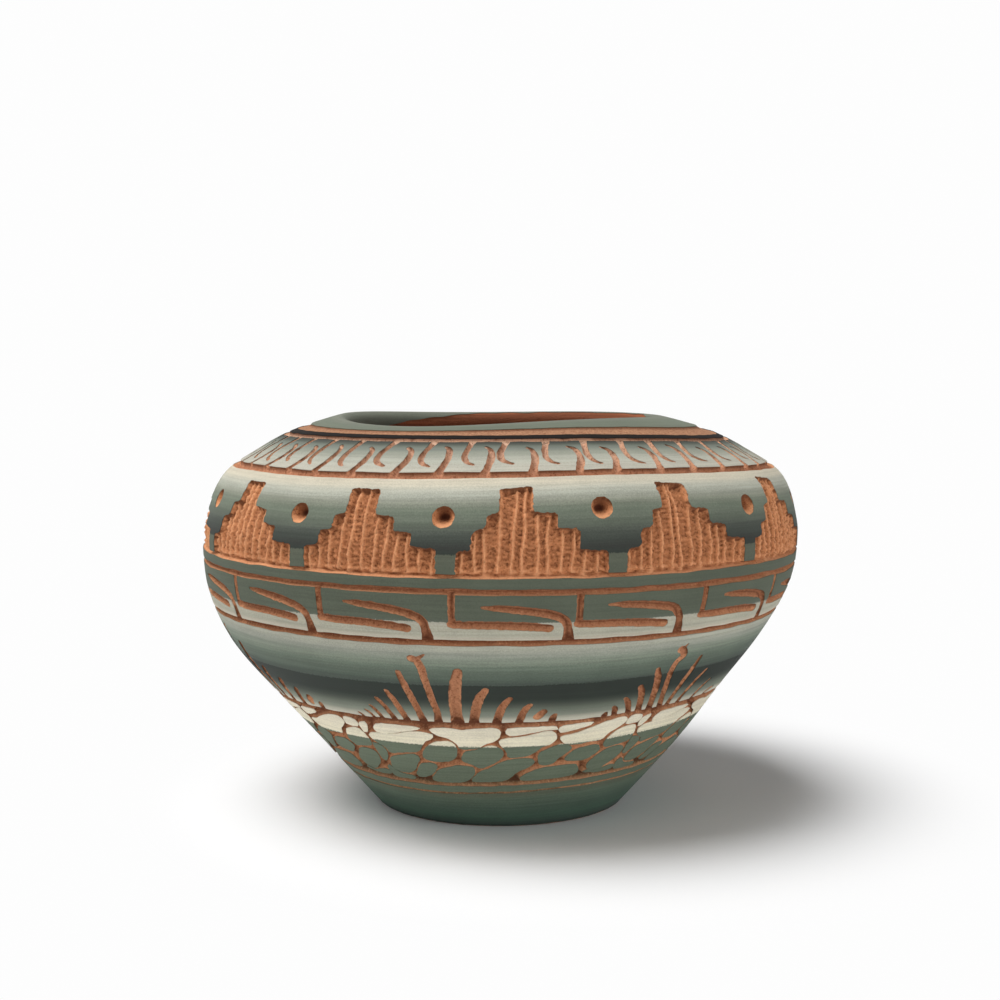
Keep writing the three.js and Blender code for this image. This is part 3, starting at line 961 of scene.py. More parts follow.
# %% One patch of cobbles, and five of them round the pot
PATCHES = 5
PATCH = 72.0
COBBLES = [
    [(-35.0, 35.6), (-34.6, 37.6), (-32.6, 38.4), (-33.4, 36.2), (-34.6, 34.6)],
    [(-30.9, 36.4), (-29.2, 38.2), (-25.0, 38.5), (-18.2, 38.3), (-22.2, 37.0), (-26.8, 35.8),
     (-30.2, 35.6)],
    [(-33.9, 33.8), (-31.6, 34.8), (-25.8, 35.2), (-20.5, 36.6), (-16.2, 36.3), (-16.0, 35.2),
     (-18.6, 33.4), (-20.6, 31.0), (-22.4, 29.6), (-28.0, 28.8), (-30.6, 28.2), (-31.2, 30.0),
     (-33.0, 31.4)],
    [(-15.4, 37.8), (-13.6, 38.4), (-10.2, 38.4), (-8.0, 37.8), (-5.8, 38.3), (0.0, 38.6), (0.7, 36.6),
     (-0.8, 34.4), (-3.2, 33.4), (-5.0, 32.0), (-9.2, 31.6), (-9.8, 33.4), (-11.6, 35.2), (-14.0, 36.2)],
    [(-14.9, 33.5), (-11.8, 33.7), (-10.8, 32.2), (-10.8, 30.4), (-11.8, 28.2), (-14.0, 26.9),
     (-17.6, 26.6), (-20.2, 27.2), (-20.5, 28.4), (-19.2, 30.4), (-17.0, 32.4)],
    [(-8.2, 30.2), (-5.6, 30.8), (-2.6, 32.2), (-0.4, 32.0), (1.0, 30.4), (0.8, 28.6), (-0.9, 26.8),
     (-3.4, 25.2), (-5.6, 24.5), (-7.2, 25.9), (-9.4, 26.7), (-9.8, 27.8)],
    [(2.8, 38.4), (6.2, 38.7), (13.0, 38.8), (14.4, 38.0), (12.0, 38.0), (7.6, 37.0), (4.0, 36.4),
     (2.7, 36.8)],
    [(0.7, 34.0), (2.3, 35.0), (6.0, 35.4), (12.0, 37.0), (13.8, 36.4), (14.4, 34.4), (13.2, 32.8),
     (10.8, 31.4), (8.4, 29.2), (6.0, 28.5), (2.8, 28.4), (2.4, 30.4), (1.4, 32.2)],
    [(15.1, 38.2), (17.0, 38.9), (23.0, 39.1), (20.4, 37.9), (16.2, 36.8), (15.2, 37.0)],
    [(15.8, 34.8), (19.6, 35.7), (26.6, 38.5), (31.2, 39.2), (32.0, 37.6), (30.2, 35.8), (28.2, 34.4),
     (26.8, 32.4), (23.6, 32.2), (20.4, 31.8), (17.6, 32.2), (16.4, 33.4)],
    [(33.4, 39.0), (35.0, 39.1), (36.4, 38.6), (36.1, 36.8), (33.4, 36.6), (32.6, 37.2)],
    [(29.2, 32.4), (30.6, 34.2), (33.0, 35.3), (35.6, 35.3), (36.3, 33.4), (36.4, 31.4), (35.6, 29.9),
     (32.2, 29.4), (29.6, 29.0), (28.4, 30.4)],
    [(-31.4, 26.2), (-27.6, 27.4), (-23.2, 28.3), (-22.6, 26.8), (-23.9, 25.2), (-25.4, 23.2),
     (-27.6, 21.6), (-31.0, 21.2), (-33.2, 22.2), (-32.8, 24.4)],
    [(-21.6, 25.2), (-19.2, 25.4), (-18.0, 25.0), (-18.8, 23.6), (-20.4, 21.8), (-22.6, 20.6),
     (-25.2, 20.2), (-25.6, 21.0), (-24.4, 22.6), (-23.0, 24.4)],
    [(-14.2, 24.2), (-11.2, 25.0), (-8.6, 24.7), (-7.4, 24.0), (-7.8, 22.0), (-9.6, 20.0), (-12.4, 19.0),
     (-17.0, 18.8), (-20.8, 19.2), (-20.2, 20.4), (-18.4, 22.4), (-16.4, 23.6)],
    [(0.6, 26.2), (3.8, 27.2), (7.6, 27.3), (9.2, 26.6), (9.0, 25.2), (6.6, 23.6), (4.4, 22.4),
     (3.0, 20.6), (1.0, 19.6), (-4.4, 19.2), (-8.2, 19.4), (-7.0, 21.2), (-5.0, 23.0), (-2.4, 24.2)],
    [(11.4, 29.6), (14.4, 31.4), (16.4, 32.0), (18.2, 31.2), (19.0, 30.4), (17.6, 28.6), (15.8, 26.8),
     (14.6, 25.1), (11.6, 25.0), (10.9, 26.6), (10.6, 28.4)],
    [(6.4, 20.2), (8.4, 21.8), (11.2, 23.1), (16.0, 23.6), (21.4, 23.6), (22.6, 22.4), (23.2, 20.4),
     (20.0, 19.4), (12.0, 19.2), (7.0, 19.2)],
    [(20.6, 29.4), (22.6, 30.0), (26.0, 30.2), (27.0, 29.2), (27.4, 28.0), (25.6, 26.4), (24.2, 25.4),
     (20.0, 25.6), (18.2, 26.2), (19.2, 28.0)],
    [(29.4, 27.4), (31.6, 28.2), (34.6, 28.0), (35.6, 26.6), (34.6, 24.0), (32.6, 22.2), (29.8, 20.4),
     (27.0, 21.2), (25.8, 23.2), (27.6, 25.6)],
    [(37.2, 30.8), (39.4, 30.0), (39.9, 28.4), (38.8, 26.2), (37.0, 24.8), (36.6, 26.4), (36.9, 28.6)],
    [(25.6, 20.2), (27.6, 19.8), (30.6, 19.3), (34.6, 19.4), (36.2, 20.2), (34.8, 20.9), (31.6, 20.2),
     (29.0, 19.6), (26.4, 20.6)],
    [(36.6, 22.4), (37.6, 22.8), (38.6, 21.4), (40.6, 20.2), (44.6, 19.7), (44.0, 18.9), (38.0, 18.9),
     (36.6, 20.2)],
]
COBBLE_GROWN = 0.3  # how far each cobble is let out, so that the cuts between them stay narrow
COBBLE_STEP = 0.8
COBBLE_FINENESS = 8


def turns_left(line):
    """Whether a closed line runs round to the left."""
    x, y = line.T
    return (x * np.roll(y, -1) - np.roll(x, -1) * y).sum() > 0


def cobble(corners, moved_by):
    """A round cobble through a few corners, let out a little, and carried round the pot by some degrees."""
    scale = radius_at(corners[:, 1].mean()) * DEGREE
    flat = np.column_stack([corners[:, 0] * scale, corners[:, 1]])
    line = evenly(curve_through(flat, COBBLE_FINENESS, closed=True), COBBLE_STEP, closed=True)
    ahead = np.roll(line, -1, axis=0) - np.roll(line, 1, axis=0)
    ahead /= np.hypot(*ahead.T)[:, None]
    outward = np.column_stack([ahead[:, 1], -ahead[:, 0]]) * (1 if turns_left(line) else -1)
    line += outward * COBBLE_GROWN
    line += draw.normal(0, EDGE_ROUGH, line.shape)
    return Shape(np.column_stack([line[:, 0] / scale + moved_by, line[:, 1]]), [], SLIP)


def cobbles():
    made = []
    for patch in range(PATCHES):
        for corners in COBBLES:
            corners = np.array(corners) * [1, stretch]
            if patch:
                middle = corners.mean(axis=0)
                corners = middle + (corners - middle) * draw.uniform(0.93, 1.03, 2)
            made.append(cobble(corners, patch * PATCH))
    return made


# %% [markdown]
# ## From drawing to mesh
# The drawing has to become triangles. The wall is laid out flat as a disc with a hole, like a record: the
# bearing stays the angle, and the distance from the middle grows so that small shapes keep their form. A
# Delaunay triangulation then joins up the outlines and the loose points, and it never crosses an outline.
# The work grows fast with the number of points, so it is done in ten strips, from the middle of one ring to
# the middle of the next, and neighbours share the points on the ring between them.

# %% The wall laid out flat
mean_radius = (path_points[1:, 0] + path_points[:-1, 0]) / 2
path_growth = np.concatenate([[0], np.cumsum(np.diff(path_along) / mean_radius)])


def lay_flat(places, middle):
    spread = np.exp(np.interp(places[:, 1], path_along, path_growth) - middle)
    angle = places[:, 0] * DEGREE
    return np.column_stack([spread * np.cos(angle), spread * np.sin(angle)])


def from_flat(points, middle):
    bearing = np.arctan2(points[:, 1], points[:, 0]) / DEGREE
    along = np.interp(np.log(np.hypot(*points.T)) + middle, path_growth, path_along)
    return np.column_stack([bearing, along])


def ring_points(along, step):
    """Places right round the pot, evenly spaced."""
    count = round(360 / degrees_for(step, np.mean(along)))
    bearing = np.arange(count) * 360 / count
    return np.column_stack([bearing, np.full(count, along)])


def edge_points(edge, about, step):
    ring = ring_points(about, step)
    return np.column_stack([ring[:, 0], edge(ring[:, 0])])


# %% The rings and loose points of each strip
SLIP_POINTS = 2.3
CUT_POINTS = 0.52
LIP_POINTS = 1.05
RING_STEP = 1.15
END_STEP = 360 / 240
SLIP_CLEAR = 0.85
CUT_CLEAR = 0.3
BORDER_CLEAR = 0.2
LIP_REACH = 5.0
strips = list(bands.values())
borders = [0.0, *(band.ring for band in strips[1:]), PATH_END]
border_rings = []
for along in borders:
    step = RING_STEP if 0 < along < PATH_END else radius_at(along) * DEGREE * END_STEP
    border_rings.append(ring_points(along, step))


def even_cover(low, high, spacing):
    """Places spread evenly over a band, each row half a step on from the last."""
    rows = np.arange(low + spacing / 2, high, spacing * 0.87)
    made = []
    for i, along in enumerate(rows):
        ring = ring_points(along, spacing)
        ring[:, 0] += (i % 2) * 180 / len(ring)
        made.append(ring)
    return np.vstack(made)


def tree_of(spots):
    """A tree that finds the nearest of some spots quickly."""
    tree = kdtree.KDTree(len(spots))
    for i, spot in enumerate(spots):
        tree.insert(spot, i)
    tree.balance()
    return tree


def keep_clear(loose, drawn, clearance):
    """Only those loose places that are no nearer than the clearance to what is drawn."""
    tree = tree_of(on_wall(*drawn.T))
    return loose[[tree.find(spot)[2] > clearance for spot in on_wall(*loose.T)]]


def inside_any(places, shapes):
    """Which places lie inside one of the shapes, by counting crossings of each outline."""
    inside = np.zeros(len(places), bool)
    for shape in shapes:
        low = shape.outline.min(axis=0)
        high = shape.outline.max(axis=0)
        middle = (high[0] + low[0]) / 2
        x = half_turn(places[:, 0] - middle) + middle
        y = places[:, 1]
        near = np.flatnonzero((x > low[0]) & (x < high[0]) & (y > low[1]) & (y < high[1]) & ~inside)
        odd = np.zeros(len(near), bool)
        for (x0, y0), (x1, y1) in zip(shape.outline, np.roll(shape.outline, -1, axis=0)):
            if y0 != y1:
                crosses = (y[near] > y0) != (y[near] > y1)
                odd ^= crosses & (x[near] < x0 + (y[near] - y0) * (x1 - x0) / (y1 - y0))
        inside[near] = odd
    return inside


print("The strips meet at", [round(float(along), 1) for along in borders], "mm")

# %% Each strip's drawing becomes triangles
class Carving:
    """All the places on the wall, and the triangles between them with what each one is."""

    def __init__(self):
        self.places = []
        self.triangles = []
        self.kinds = []
        self.strips = []
        self.count = 0

    def add_places(self, places):
        self.places.append(places)
        self.count += len(places)
        return np.arange(self.count - len(places), self.count)

    def finish(self):
        self.places = np.vstack(self.places)
        self.triangles = np.vstack(self.triangles)
        self.kinds = np.concatenate(self.kinds)
        self.strips = np.concatenate(self.strips)


def triangulate(rings, shapes, loose, middle):
    """Joins up rings, shapes and loose places.

    Gives the places, which of the given places each one was, the triangles, and the shape each lies in. A
    number below 0 means that a place is new, or that a triangle lies in no shape."""
    parts = [*rings, *(shape.outline for shape in shapes), loose]
    starts = [0, *np.cumsum([len(part) for part in parts]).tolist()]
    places = np.vstack(parts)
    flat = lay_flat(places, middle)
    edges = []
    for start, ring in zip(starts, rings):
        edges += [(start + i, start + (i + 1) % len(ring)) for i in range(len(ring))]
    faces = []
    for start, end in zip(starts[len(rings) : -2], starts[len(rings) + 1 :]):
        ids = list(range(start, end))
        faces.append(ids if turns_left(flat[start:end]) else ids[::-1])
    out = geometry.delaunay_2d_cdt([Vector(spot) for spot in flat], edges, faces, 0, 1e-5, True)
    source, within = (np.array([min(ids) if ids else -1 for ids in out[i]]) for i in (3, 5))
    found = from_flat(np.array([tuple(spot) for spot in out[0]]), middle)
    known = source >= 0
    found[known] = places[source[known]]
    return found, source, np.array(out[2]), within


def centre_of(places, triangles):
    """The middle of each triangle, with bearings that don't jump where the turn closes."""
    bearings = places[triangles, 0]
    first = bearings[:, :1]
    return (half_turn(bearings - first) + first).mean(axis=1), places[triangles, 1].mean(axis=1)


def carve_strip(carving, number, border_ids):
    band = strips[number]
    start, end = borders[number : number + 2]
    below, above = border_rings[number : number + 2]
    shapes = drawn_in[band.name]
    is_stone = band.name == "slip_stone_band"
    is_rim = band.name == "slip_rim"
    high_edge = inner_slip_edge if is_rim else band.high_edge
    rings = [below, above]
    inside = [shape.inside for shape in shapes]
    loose = even_cover(start + BORDER_CLEAR, end - BORDER_CLEAR, SLIP_POINTS)
    if is_stone:
        cut = even_cover(start + CUT_CLEAR, end - CUT_CLEAR, CUT_POINTS)
        cut = cut[~inside_any(cut, shapes)]
        inside.append(keep_clear(cut, np.vstack([*rings, *(shape.outline for shape in shapes)]), CUT_CLEAR))
    else:
        top = LIP_INNER if is_rim else band.high
        for edge, about, border in ((band.low_edge, band.low, start), (high_edge, top, end)):
            rings.append(edge_points(edge, about, RING_STEP))
            if 0 < border < PATH_END:
                inside.append(ring_points((rings[-1][:, 1].mean() + border) / 2, RING_STEP))
    if is_rim:
        off_lip = np.abs(loose[:, 1] - (WALL_LENGTH + LIP_INNER) / 2) > LIP_REACH
        loose = np.vstack([loose[off_lip], even_cover(WALL_LENGTH - 1, LIP_INNER + 1, LIP_POINTS)])
    inside = np.vstack([part for part in inside if len(part)] or [loose[:0]])
    drawn = np.vstack([*rings, *(shape.outline for shape in shapes), inside])
    loose = np.vstack([inside, keep_clear(loose, drawn, SLIP_CLEAR)])
    middle = float(np.interp((start + end) / 2, path_along, path_growth))
    places, source, triangles, within = triangulate(rings, shapes, loose, middle)

    ids = np.full(len(places), -1)
    on_below = (source >= 0) & (source < len(below))
    on_above = (source >= len(below)) & (source < len(below) + len(above))
    ids[on_below] = border_ids[number][source[on_below]]
    ids[on_above] = border_ids[number + 1][source[on_above] - len(below)]
    fresh = ids < 0
    ids[fresh] = carving.add_places(places[fresh])
    in_hole = (places[triangles, 1] < start + 0.01).all(axis=1)
    triangles, within = triangles[~in_hole], within[~in_hole]

    bearing, along = centre_of(places, triangles)
    if is_stone:
        kinds = np.where(within < 0, GROOVE, SLIP)
    else:
        kinds = np.where(along < band.low_edge(bearing), GROOVE if number else BARE, SLIP)
        kinds = np.where(along > high_edge(bearing), BARE if is_rim else GROOVE, kinds)
        shape_kinds = np.array([*(shape.kind for shape in shapes), SLIP])
        kinds = np.where(within >= 0, shape_kinds[within], kinds)
    carving.triangles.append(ids[triangles])
    carving.kinds.append(kinds)
    carving.strips.append(np.full(len(triangles), number))
    print(f"{band.name:20s} {len(places):6d} places {len(triangles):6d} triangles")


# %% The drawing of every band, and the whole wall carved
drawn_in = {name: [] for name in bands}
drawn_in["slip_hook_band"] = hooks()
drawn_in["slip_meander_band"] = meander()
drawn_in["slip_belly_band"] = clumps()
drawn_in["slip_shoulder_band"] = [figure.shape() for figure in figures] + [dot(*place) for place in DOTS]
drawn_in["slip_stone_band"] = cobbles()
print(sum(len(shapes) for shapes in drawn_in.values()), "shapes are drawn")

carving = Carving()
border_ids = [carving.add_places(ring) for ring in border_rings]
for number in range(len(strips)):
    carve_strip(carving, number, border_ids)
carving.finish()
print("In all", len(carving.places), "places and", len(carving.triangles), "triangles")

# %% [markdown]
# ## How deep the tool went
# The slip is only as thick as a few coats of paint. A cut falls away steeply from its edge and levels out,
# so the depth at a place comes from how far it is from the nearest edge of slip. The stepped figures are
# level inside, apart from their ridges and the marks of the tool, and the dots are drilled holes with a
# bevelled edge. The cut clay also carries painted light and shade: painted shadow lines a cut's edge, most
# of all below an overhanging edge, and painted shade darkens the middle of a narrow cut, the figures'
# troughs and the upper side of each dot. Painted light falls on the ridges' crests, on the lower side of
# each dot and along an edge of slip that lies below its cut.

# %% The edges of the slip
OVERHANG = 0.4  # how much higher than its cut an edge of slip is, in millimetres, when it counts in full


def paired_edges(triangles):
    """Every edge with the triangles on its two sides, the second one -1 where there is none."""
    ends = np.sort(np.vstack([triangles[:, [0, 1]], triangles[:, [1, 2]], triangles[:, [2, 0]]]), axis=1)
    owner = np.tile(np.arange(len(triangles)), 3)
    order = np.lexsort((ends[:, 1], ends[:, 0]))
    ends, owner = ends[order], owner[order]
    first = np.ones(len(ends), bool)
    first[1:] = (ends[1:] != ends[:-1]).any(axis=1)
    starts = np.flatnonzero(first)
    other = np.full(len(starts), -1)
    shared = starts[np.append(np.diff(starts) > 1, len(ends) - starts[-1] > 1)]
    other[np.searchsorted(starts, shared)] = owner[shared + 1]
    return ends[starts], owner[starts], other


places = carving.places
spots = on_wall(*places.T)
all_edges, edge_owner, edge_other = paired_edges(carving.triangles)
slip_here = carving.kinds[edge_owner] == SLIP
slip_there = np.where(edge_other >= 0, carving.kinds[edge_other] == SLIP, slip_here)
cut_edges = all_edges[slip_here != slip_there]
corner_kinds = np.zeros(len(places), int)
np.maximum.at(corner_kinds, carving.triangles.ravel(), np.repeat(carving.kinds, 3))
beside_slip = np.zeros(len(places), bool)
beside_slip[carving.triangles[carving.kinds == SLIP].ravel()] = True
cut_places = np.flatnonzero((corner_kinds > SLIP) & ~beside_slip)

# Above 0 where an edge of slip stands above its cut, and below 0 where it lies below it
cut_triangles = carving.triangles[carving.kinds > SLIP]
rises = spots[:, 2][cut_triangles]
overhang = np.zeros(len(places))
np.add.at(overhang, cut_triangles.ravel(), (rises - rises.mean(axis=1, keepdims=True)).ravel())
overhang = np.clip(overhang / OVERHANG, -1, 1)
print(len(cut_edges), "edges of cut slip")


# %% How far each cut place is from the slip
def reach_to_slip():
    """How far each cut place is from the nearest edge of slip, and how steeply that edge is above it."""
    ends = spots[cut_edges]
    tree = tree_of(np.vstack([ends[:, 0] * (1 - t) + ends[:, 1] * t for t in (0, 0.25, 0.5, 0.75)]))
    found = [tree.find(spot) for spot in spots[cut_places]]
    reach = np.array([nearest[2] for nearest in found])
    rise = np.array([nearest[0][2] for nearest in found]) - spots[cut_places, 2]
    return reach, np.clip(rise / np.maximum(reach, 0.05), -1, 1)


reach, edge_above = reach_to_slip()
print("The widest cut reaches", round(reach.max(), 1), "mm from the slip")

# %% The floor of a stepped figure
FIGURE_DEPTH = 1.25
RIDGE_WIDTH = 0.38
RIDGE_RISE = 0.95
TOOL_MARK_DEPTH = 0.2
TOOL_MARK_PITCH = 1.15
TOOL_MARK_LEAN = 0.25
CRUMBLE = 0.15


def figure_floor(figure, bearing, along):
    """The depth in a stepped figure, away from its edges, and its painted shading: dark above 0, light below.
    """
    aside = figure.aside(bearing, along)
    offsets = np.array([aside - figure.ridge_at(ridge, along) for ridge in figure.ridges])
    trough = (offsets > 0).sum(axis=0)
    crest = np.exp(-((np.abs(offsets).min(axis=0) / RIDGE_WIDTH) ** 2))
    slip_of_hand = 1.3 * np.sin(along * 1.9 + trough * 1.7) + 0.8 * np.sin(aside * 2.3 + trough)
    turns = 2 * math.pi * (along / TOOL_MARK_PITCH + TOOL_MARK_LEAN * aside)
    marks = np.sin(turns + trough * 2.4 + slip_of_hand)
    rough = draw.normal(0, CRUMBLE, len(aside)) + TOOL_MARK_DEPTH * marks * (1 - crest * 0.6)
    beside_crest = np.exp(-(((offsets + 0.55) / 0.3) ** 2)).max(axis=0)
    # Painted shading: light on the crests, darker beside them, and light and dark across the tool marks
    shade = 0.12 + 0.2 * marks * (1 - crest) + 0.4 * beside_crest - 0.85 * crest
    shade += draw.normal(0, 0.12, len(aside))
    foot_curl = 0.5 * np.exp(-(((along - figure.foot - 0.7) / 0.5) ** 2)) * (1 - crest)
    depth = FIGURE_DEPTH - RIDGE_RISE * crest * (0.75 + 0.25 * marks) + rough - foot_curl
    return depth, shade - foot_curl


# %% The depth and the painted shading at every place
SLIP_THICKNESS = 0.13
GROOVE_DEPTH = 1.0
GROOVE_REACH = 0.8
FIGURE_WALL = 0.45  # how wide the steep edge of a figure is
# How far the painted shadow along an edge of slip reaches into a cut
EDGE_SHADE_REACH = 0.34
DARK_MIDDLE = 0.65  # how dark the painted shade in the middle of a narrow cut is
RIM_SCRAPE = 0.3  # how deep the wide ring below the rim is, as a share of other cuts
UNCUT_BASE = 1.5  # nothing is cut lower down than this, so that the foot's edge stays whole

depth = np.zeros(len(places))
torn = np.zeros(len(places))  # painted light and shade on the cut clay: above 0 painted shade, below 0 painted light
at_edge = beside_slip & (corner_kinds > SLIP)
# Painted shadow along each cut edge, darkest under an overhanging edge, and painted light where the edge lies
# low
torn[at_edge] = 0.25 + 0.7 * overhang[at_edge]
near = np.clip(reach / GROOVE_REACH, 0, 1)
depth[cut_places] = GROOVE_DEPTH * (1 - (1 - near) ** 2) * (1 + draw.normal(0, 0.07, len(near)))
depth[places[:, 1] > bands["slip_dark_line"].high] *= RIM_SCRAPE
# Painted shadow near an edge of slip, deepest where the edge stands above the cut
torn[cut_places] = np.exp(-((reach / EDGE_SHADE_REACH) ** 2)) * (0.2 + edge_above)
# Painted shade in the middle of a narrow cut: none in the leaves, and less above the shoulder
cut_along = places[cut_places, 1]
is_leaf = (cut_along > bands["slip_belly_band"].low) & (cut_along < bands["slip_belly_band"].high)
middle_shade_share = np.where(is_leaf, 0, np.where(cut_along > shoulder.high, 0.25, 1.0))
torn[cut_places] += middle_shade_share * DARK_MIDDLE * smooth_share(reach, 0.45, 0.85)

of_figures = corner_kinds[cut_places] == FIGURE
in_figures = cut_places[of_figures]
from_wall = reach[of_figures] / FIGURE_WALL
steep = 1 - (1 - np.clip(from_wall, 0, 1)) ** 2
beside_wall = np.exp(-(from_wall**2))
# Painted shadow along a figure's edge, most of all under its top edges
edge_painted_shadow = (0.25 + edge_above[of_figures]) * 1.3 * beside_wall
for figure in figures:
    aside = figure.aside(*places[in_figures].T)
    own = (aside > -figure.left - 0.6) & (aside < figure.right + 0.6)
    level, shade = figure_floor(figure, *places[in_figures[own]].T)
    depth[in_figures[own]] = level * steep[own]
    torn[in_figures[own]] = edge_painted_shadow[own] + shade * (1 - beside_wall[own])

for bearing, rise in DOTS:
    middle = shoulder.low + rise * stretch
    aside = half_turn(places[:, 0] - bearing) * DEGREE * radius_at(middle)
    up = places[:, 1] - middle
    from_middle = np.hypot(aside, up)
    own = (from_middle < DOT_RADIUS * 1.05) & (corner_kinds == DOT) & ~beside_slip
    sunk = 1 - from_middle[own] / DOT_RADIUS
    depth[own] = np.interp(np.hypot(aside[own], up[own] - DRILL_RISE * sunk), *zip(*DOT_BEVEL))
    # Painted shade on the upper side of a dot and painted light on its lower side
    torn[own] = 0.9 * up[own] / DOT_RADIUS

uncut = (corner_kinds == BARE) | (places[:, 1] < UNCUT_BASE)
depth[uncut | (places[:, 1] > WALL_LENGTH)] = 0
torn[uncut] = 0
depth = np.maximum(depth, 0)
torn = np.clip(torn, -1, 1)
print("The deepest cut goes", round(depth.max(), 2), "mm into the clay")

# %% [markdown]
# ## Pieces
# A mesh is made from places and triangles in one go, which is far quicker than adding points one by one.
# Each piece carries what its finish needs to know at every point. It also carries its own flat layout for
# baking: the face unrolled round the pot, with the triangles that cross the closing line kept together.

# %% Making a mesh
TURN_SHARE = 365.0


def unrolled(bearings):
    """The three bearings of each triangle, side by side even where the turn closes."""
    first = bearings[:, :1] % 360
    together = half_turn(bearings - first) + first
    return together + np.where(together.min(axis=1, keepdims=True) < 0, 360, 0)


def make_piece(name, points, triangles, layout, carried, material):
    """points are in millimetres. layout is the flat place of every triangle's corners, 0 to 1 each way."""
    mesh = bpy.data.meshes.new(name)
    mesh.from_pydata((points * MM).tolist(), [], triangles.tolist())
    mesh.uv_layers.new(name="OFBake").data.foreach_set("uv", layout.astype(np.float32).ravel())
    for key, values in carried.items():
        mesh.attributes.new(key, "FLOAT", "POINT").data.foreach_set("value", values.astype(np.float32))
    mesh.polygons.foreach_set("use_smooth", np.ones(len(triangles), bool))
    mesh.materials.append(material)
    piece = bpy.data.objects.new(name, mesh)
    bpy.context.collection.objects.link(piece)
    return piece


def layout_of(bearings, heights, bottom, top):
    """The flat layout of triangles, between two levels of the picture."""
    across = 0.005 + 0.985 * unrolled(bearings) / TURN_SHARE
    spread = heights.max() - heights.min()
    up = bottom + (top - bottom) * (heights - heights.min()) / max(spread, 1e-6)
    return np.stack([across, up], axis=-1)


def face_looks(triangles, points):
    """The direction that each triangle faces in."""
    a, b, c = (points[triangles[:, i]] for i in range(3))
    return np.cross(b - a, c - a)


def outwards(triangles, points, looks):
    """The triangles turned so that each faces the way that its surface looks."""
    wrong = (face_looks(triangles, points) * looks[triangles].sum(axis=1)).sum(axis=1) < 0
    return np.where(wrong[:, None], triangles[:, ::-1], triangles)


print("Meshes can be made")

# %% [markdown]
# ## Slip
# Slip dries matt and a little chalky. It went on with a soft brush and an airbrush while the pot turned on
# the wheel, so every shade runs round the pot in streaks, and one shade fades into the next through fine
# specks. The shade is therefore read off the height up the wall, through a ramp. The height is first shaken
# a little by streaks that are drawn out along the turning, and by fine grain.

# %% The shades of slip, each at its length along the wall
CHARCOAL = (42, 48, 43)
GREEN = (80, 86, 73)
LIGHTER_LOW_GREEN = (100, 110, 93)  # the same green, painted lighter low on the pot as painted light
FOOT_GREEN = (72, 94, 80)
CREAM = (225, 218, 193)
BLACK = (27, 23, 21)
HARD = 0.12  # a brushed edge: how far one shade takes to give way to the next
TONES = {
    # The foot's green is painted darker towards the table, as shade
    "slip_foot": [
        (0.3, (44, 50, 46)), (1.5, (63, 78, 70)), (4, FOOT_GREEN), (8, (81, 98, 85)), (12, (93, 107, 92)),
        (13.5, (97, 104, 88)),
    ],
    "slip_foot_line": [(15, LIGHTER_LOW_GREEN), (17, LIGHTER_LOW_GREEN)],
    "slip_stone_band": [(18, LIGHTER_LOW_GREEN), (32.2, LIGHTER_LOW_GREEN), (32.2 + HARD, CREAM), (39, (218, 210, 190))],
    "slip_belly_band": [
        (40.8, (196, 191, 176)), (41.9, (180, 177, 161)), (43.2, (127, 131, 119)), (44.7, (106, 113, 100)),
        (46.4, (81, 86, 77)), (47.6, (58, 64, 57)), (49, CHARCOAL), (53.55, CHARCOAL),
        (53.55 + HARD, (66, 74, 67)), (54.8, (72, 82, 73)), (56, (82, 93, 82)), (57.2, (85, 95, 84)),
        (59, (100, 111, 98)), (60, (115, 124, 110)), (61.5, (126, 133, 120)), (62.8, (142, 145, 133)),
        (64.5, (159, 159, 145)),
    ],
    "slip_meander_band": [
        (66.6, (180, 172, 155)), (67.8, (156, 155, 140)), (69, (165, 162, 145)), (70.65, (163, 160, 146)),
        (70.65 + HARD, (86, 92, 80)), (71.8, GREEN), (77, GREEN),
    ],
    "slip_plain_band": [(78, GREEN), (80.4, GREEN)],
    "slip_shoulder_band": [
        (81, GREEN), (85.45, (83, 87, 74)), (85.45 + HARD, CHARCOAL), (87, (47, 49, 45)),
        (88.5, (55, 60, 54)), (90, (66, 71, 64)), (91.2, (82, 88, 78)), (92.7, (86, 93, 81)),
        (93.6, (98, 105, 92)),
        (95, (101, 109, 95)), (96, (109, 115, 101)), (97, (128, 131, 117)), (98, (141, 143, 130)),
        (99, (157, 159, 146)), (100.5, (171, 170, 156)), (102, (184, 178, 160)), (103.2, (187, 179, 160)),
    ],
    "slip_hook_band": [
        (106, (171, 168, 154)), (108, (165, 162, 149)), (110, (162, 162, 149)), (111.2, (154, 154, 142)),
        (112.5, (141, 143, 130)), (114, (128, 131, 119)), (115, (111, 116, 107)), (116, (99, 104, 94)),
        (117, (70, 74, 66)), (118.2, (44, 46, 40)),
    ],
    "slip_dark_line": [(119, BLACK), (123, BLACK)],
    "slip_rim": [
        (125, (96, 100, 86)), (130, (94, 101, 87)), (132, (104, 107, 95)), (141, (96, 101, 89)),
        (147, (84, 86, 76)),
    ],
}
print("The slip has", sum(len(tones) for tones in TONES.values()), "tones")

# %% The finish of slip
SLIP_SHINE = 0.22
DARK_LINE_SHINE = 0.04
# Sizes of the streaks and the grain, in millimetres
BRUSH_STREAK = 0.7
BROAD_STREAK = 2.6
SLIP_GRAIN = 0.34
CLOUD = 8.0


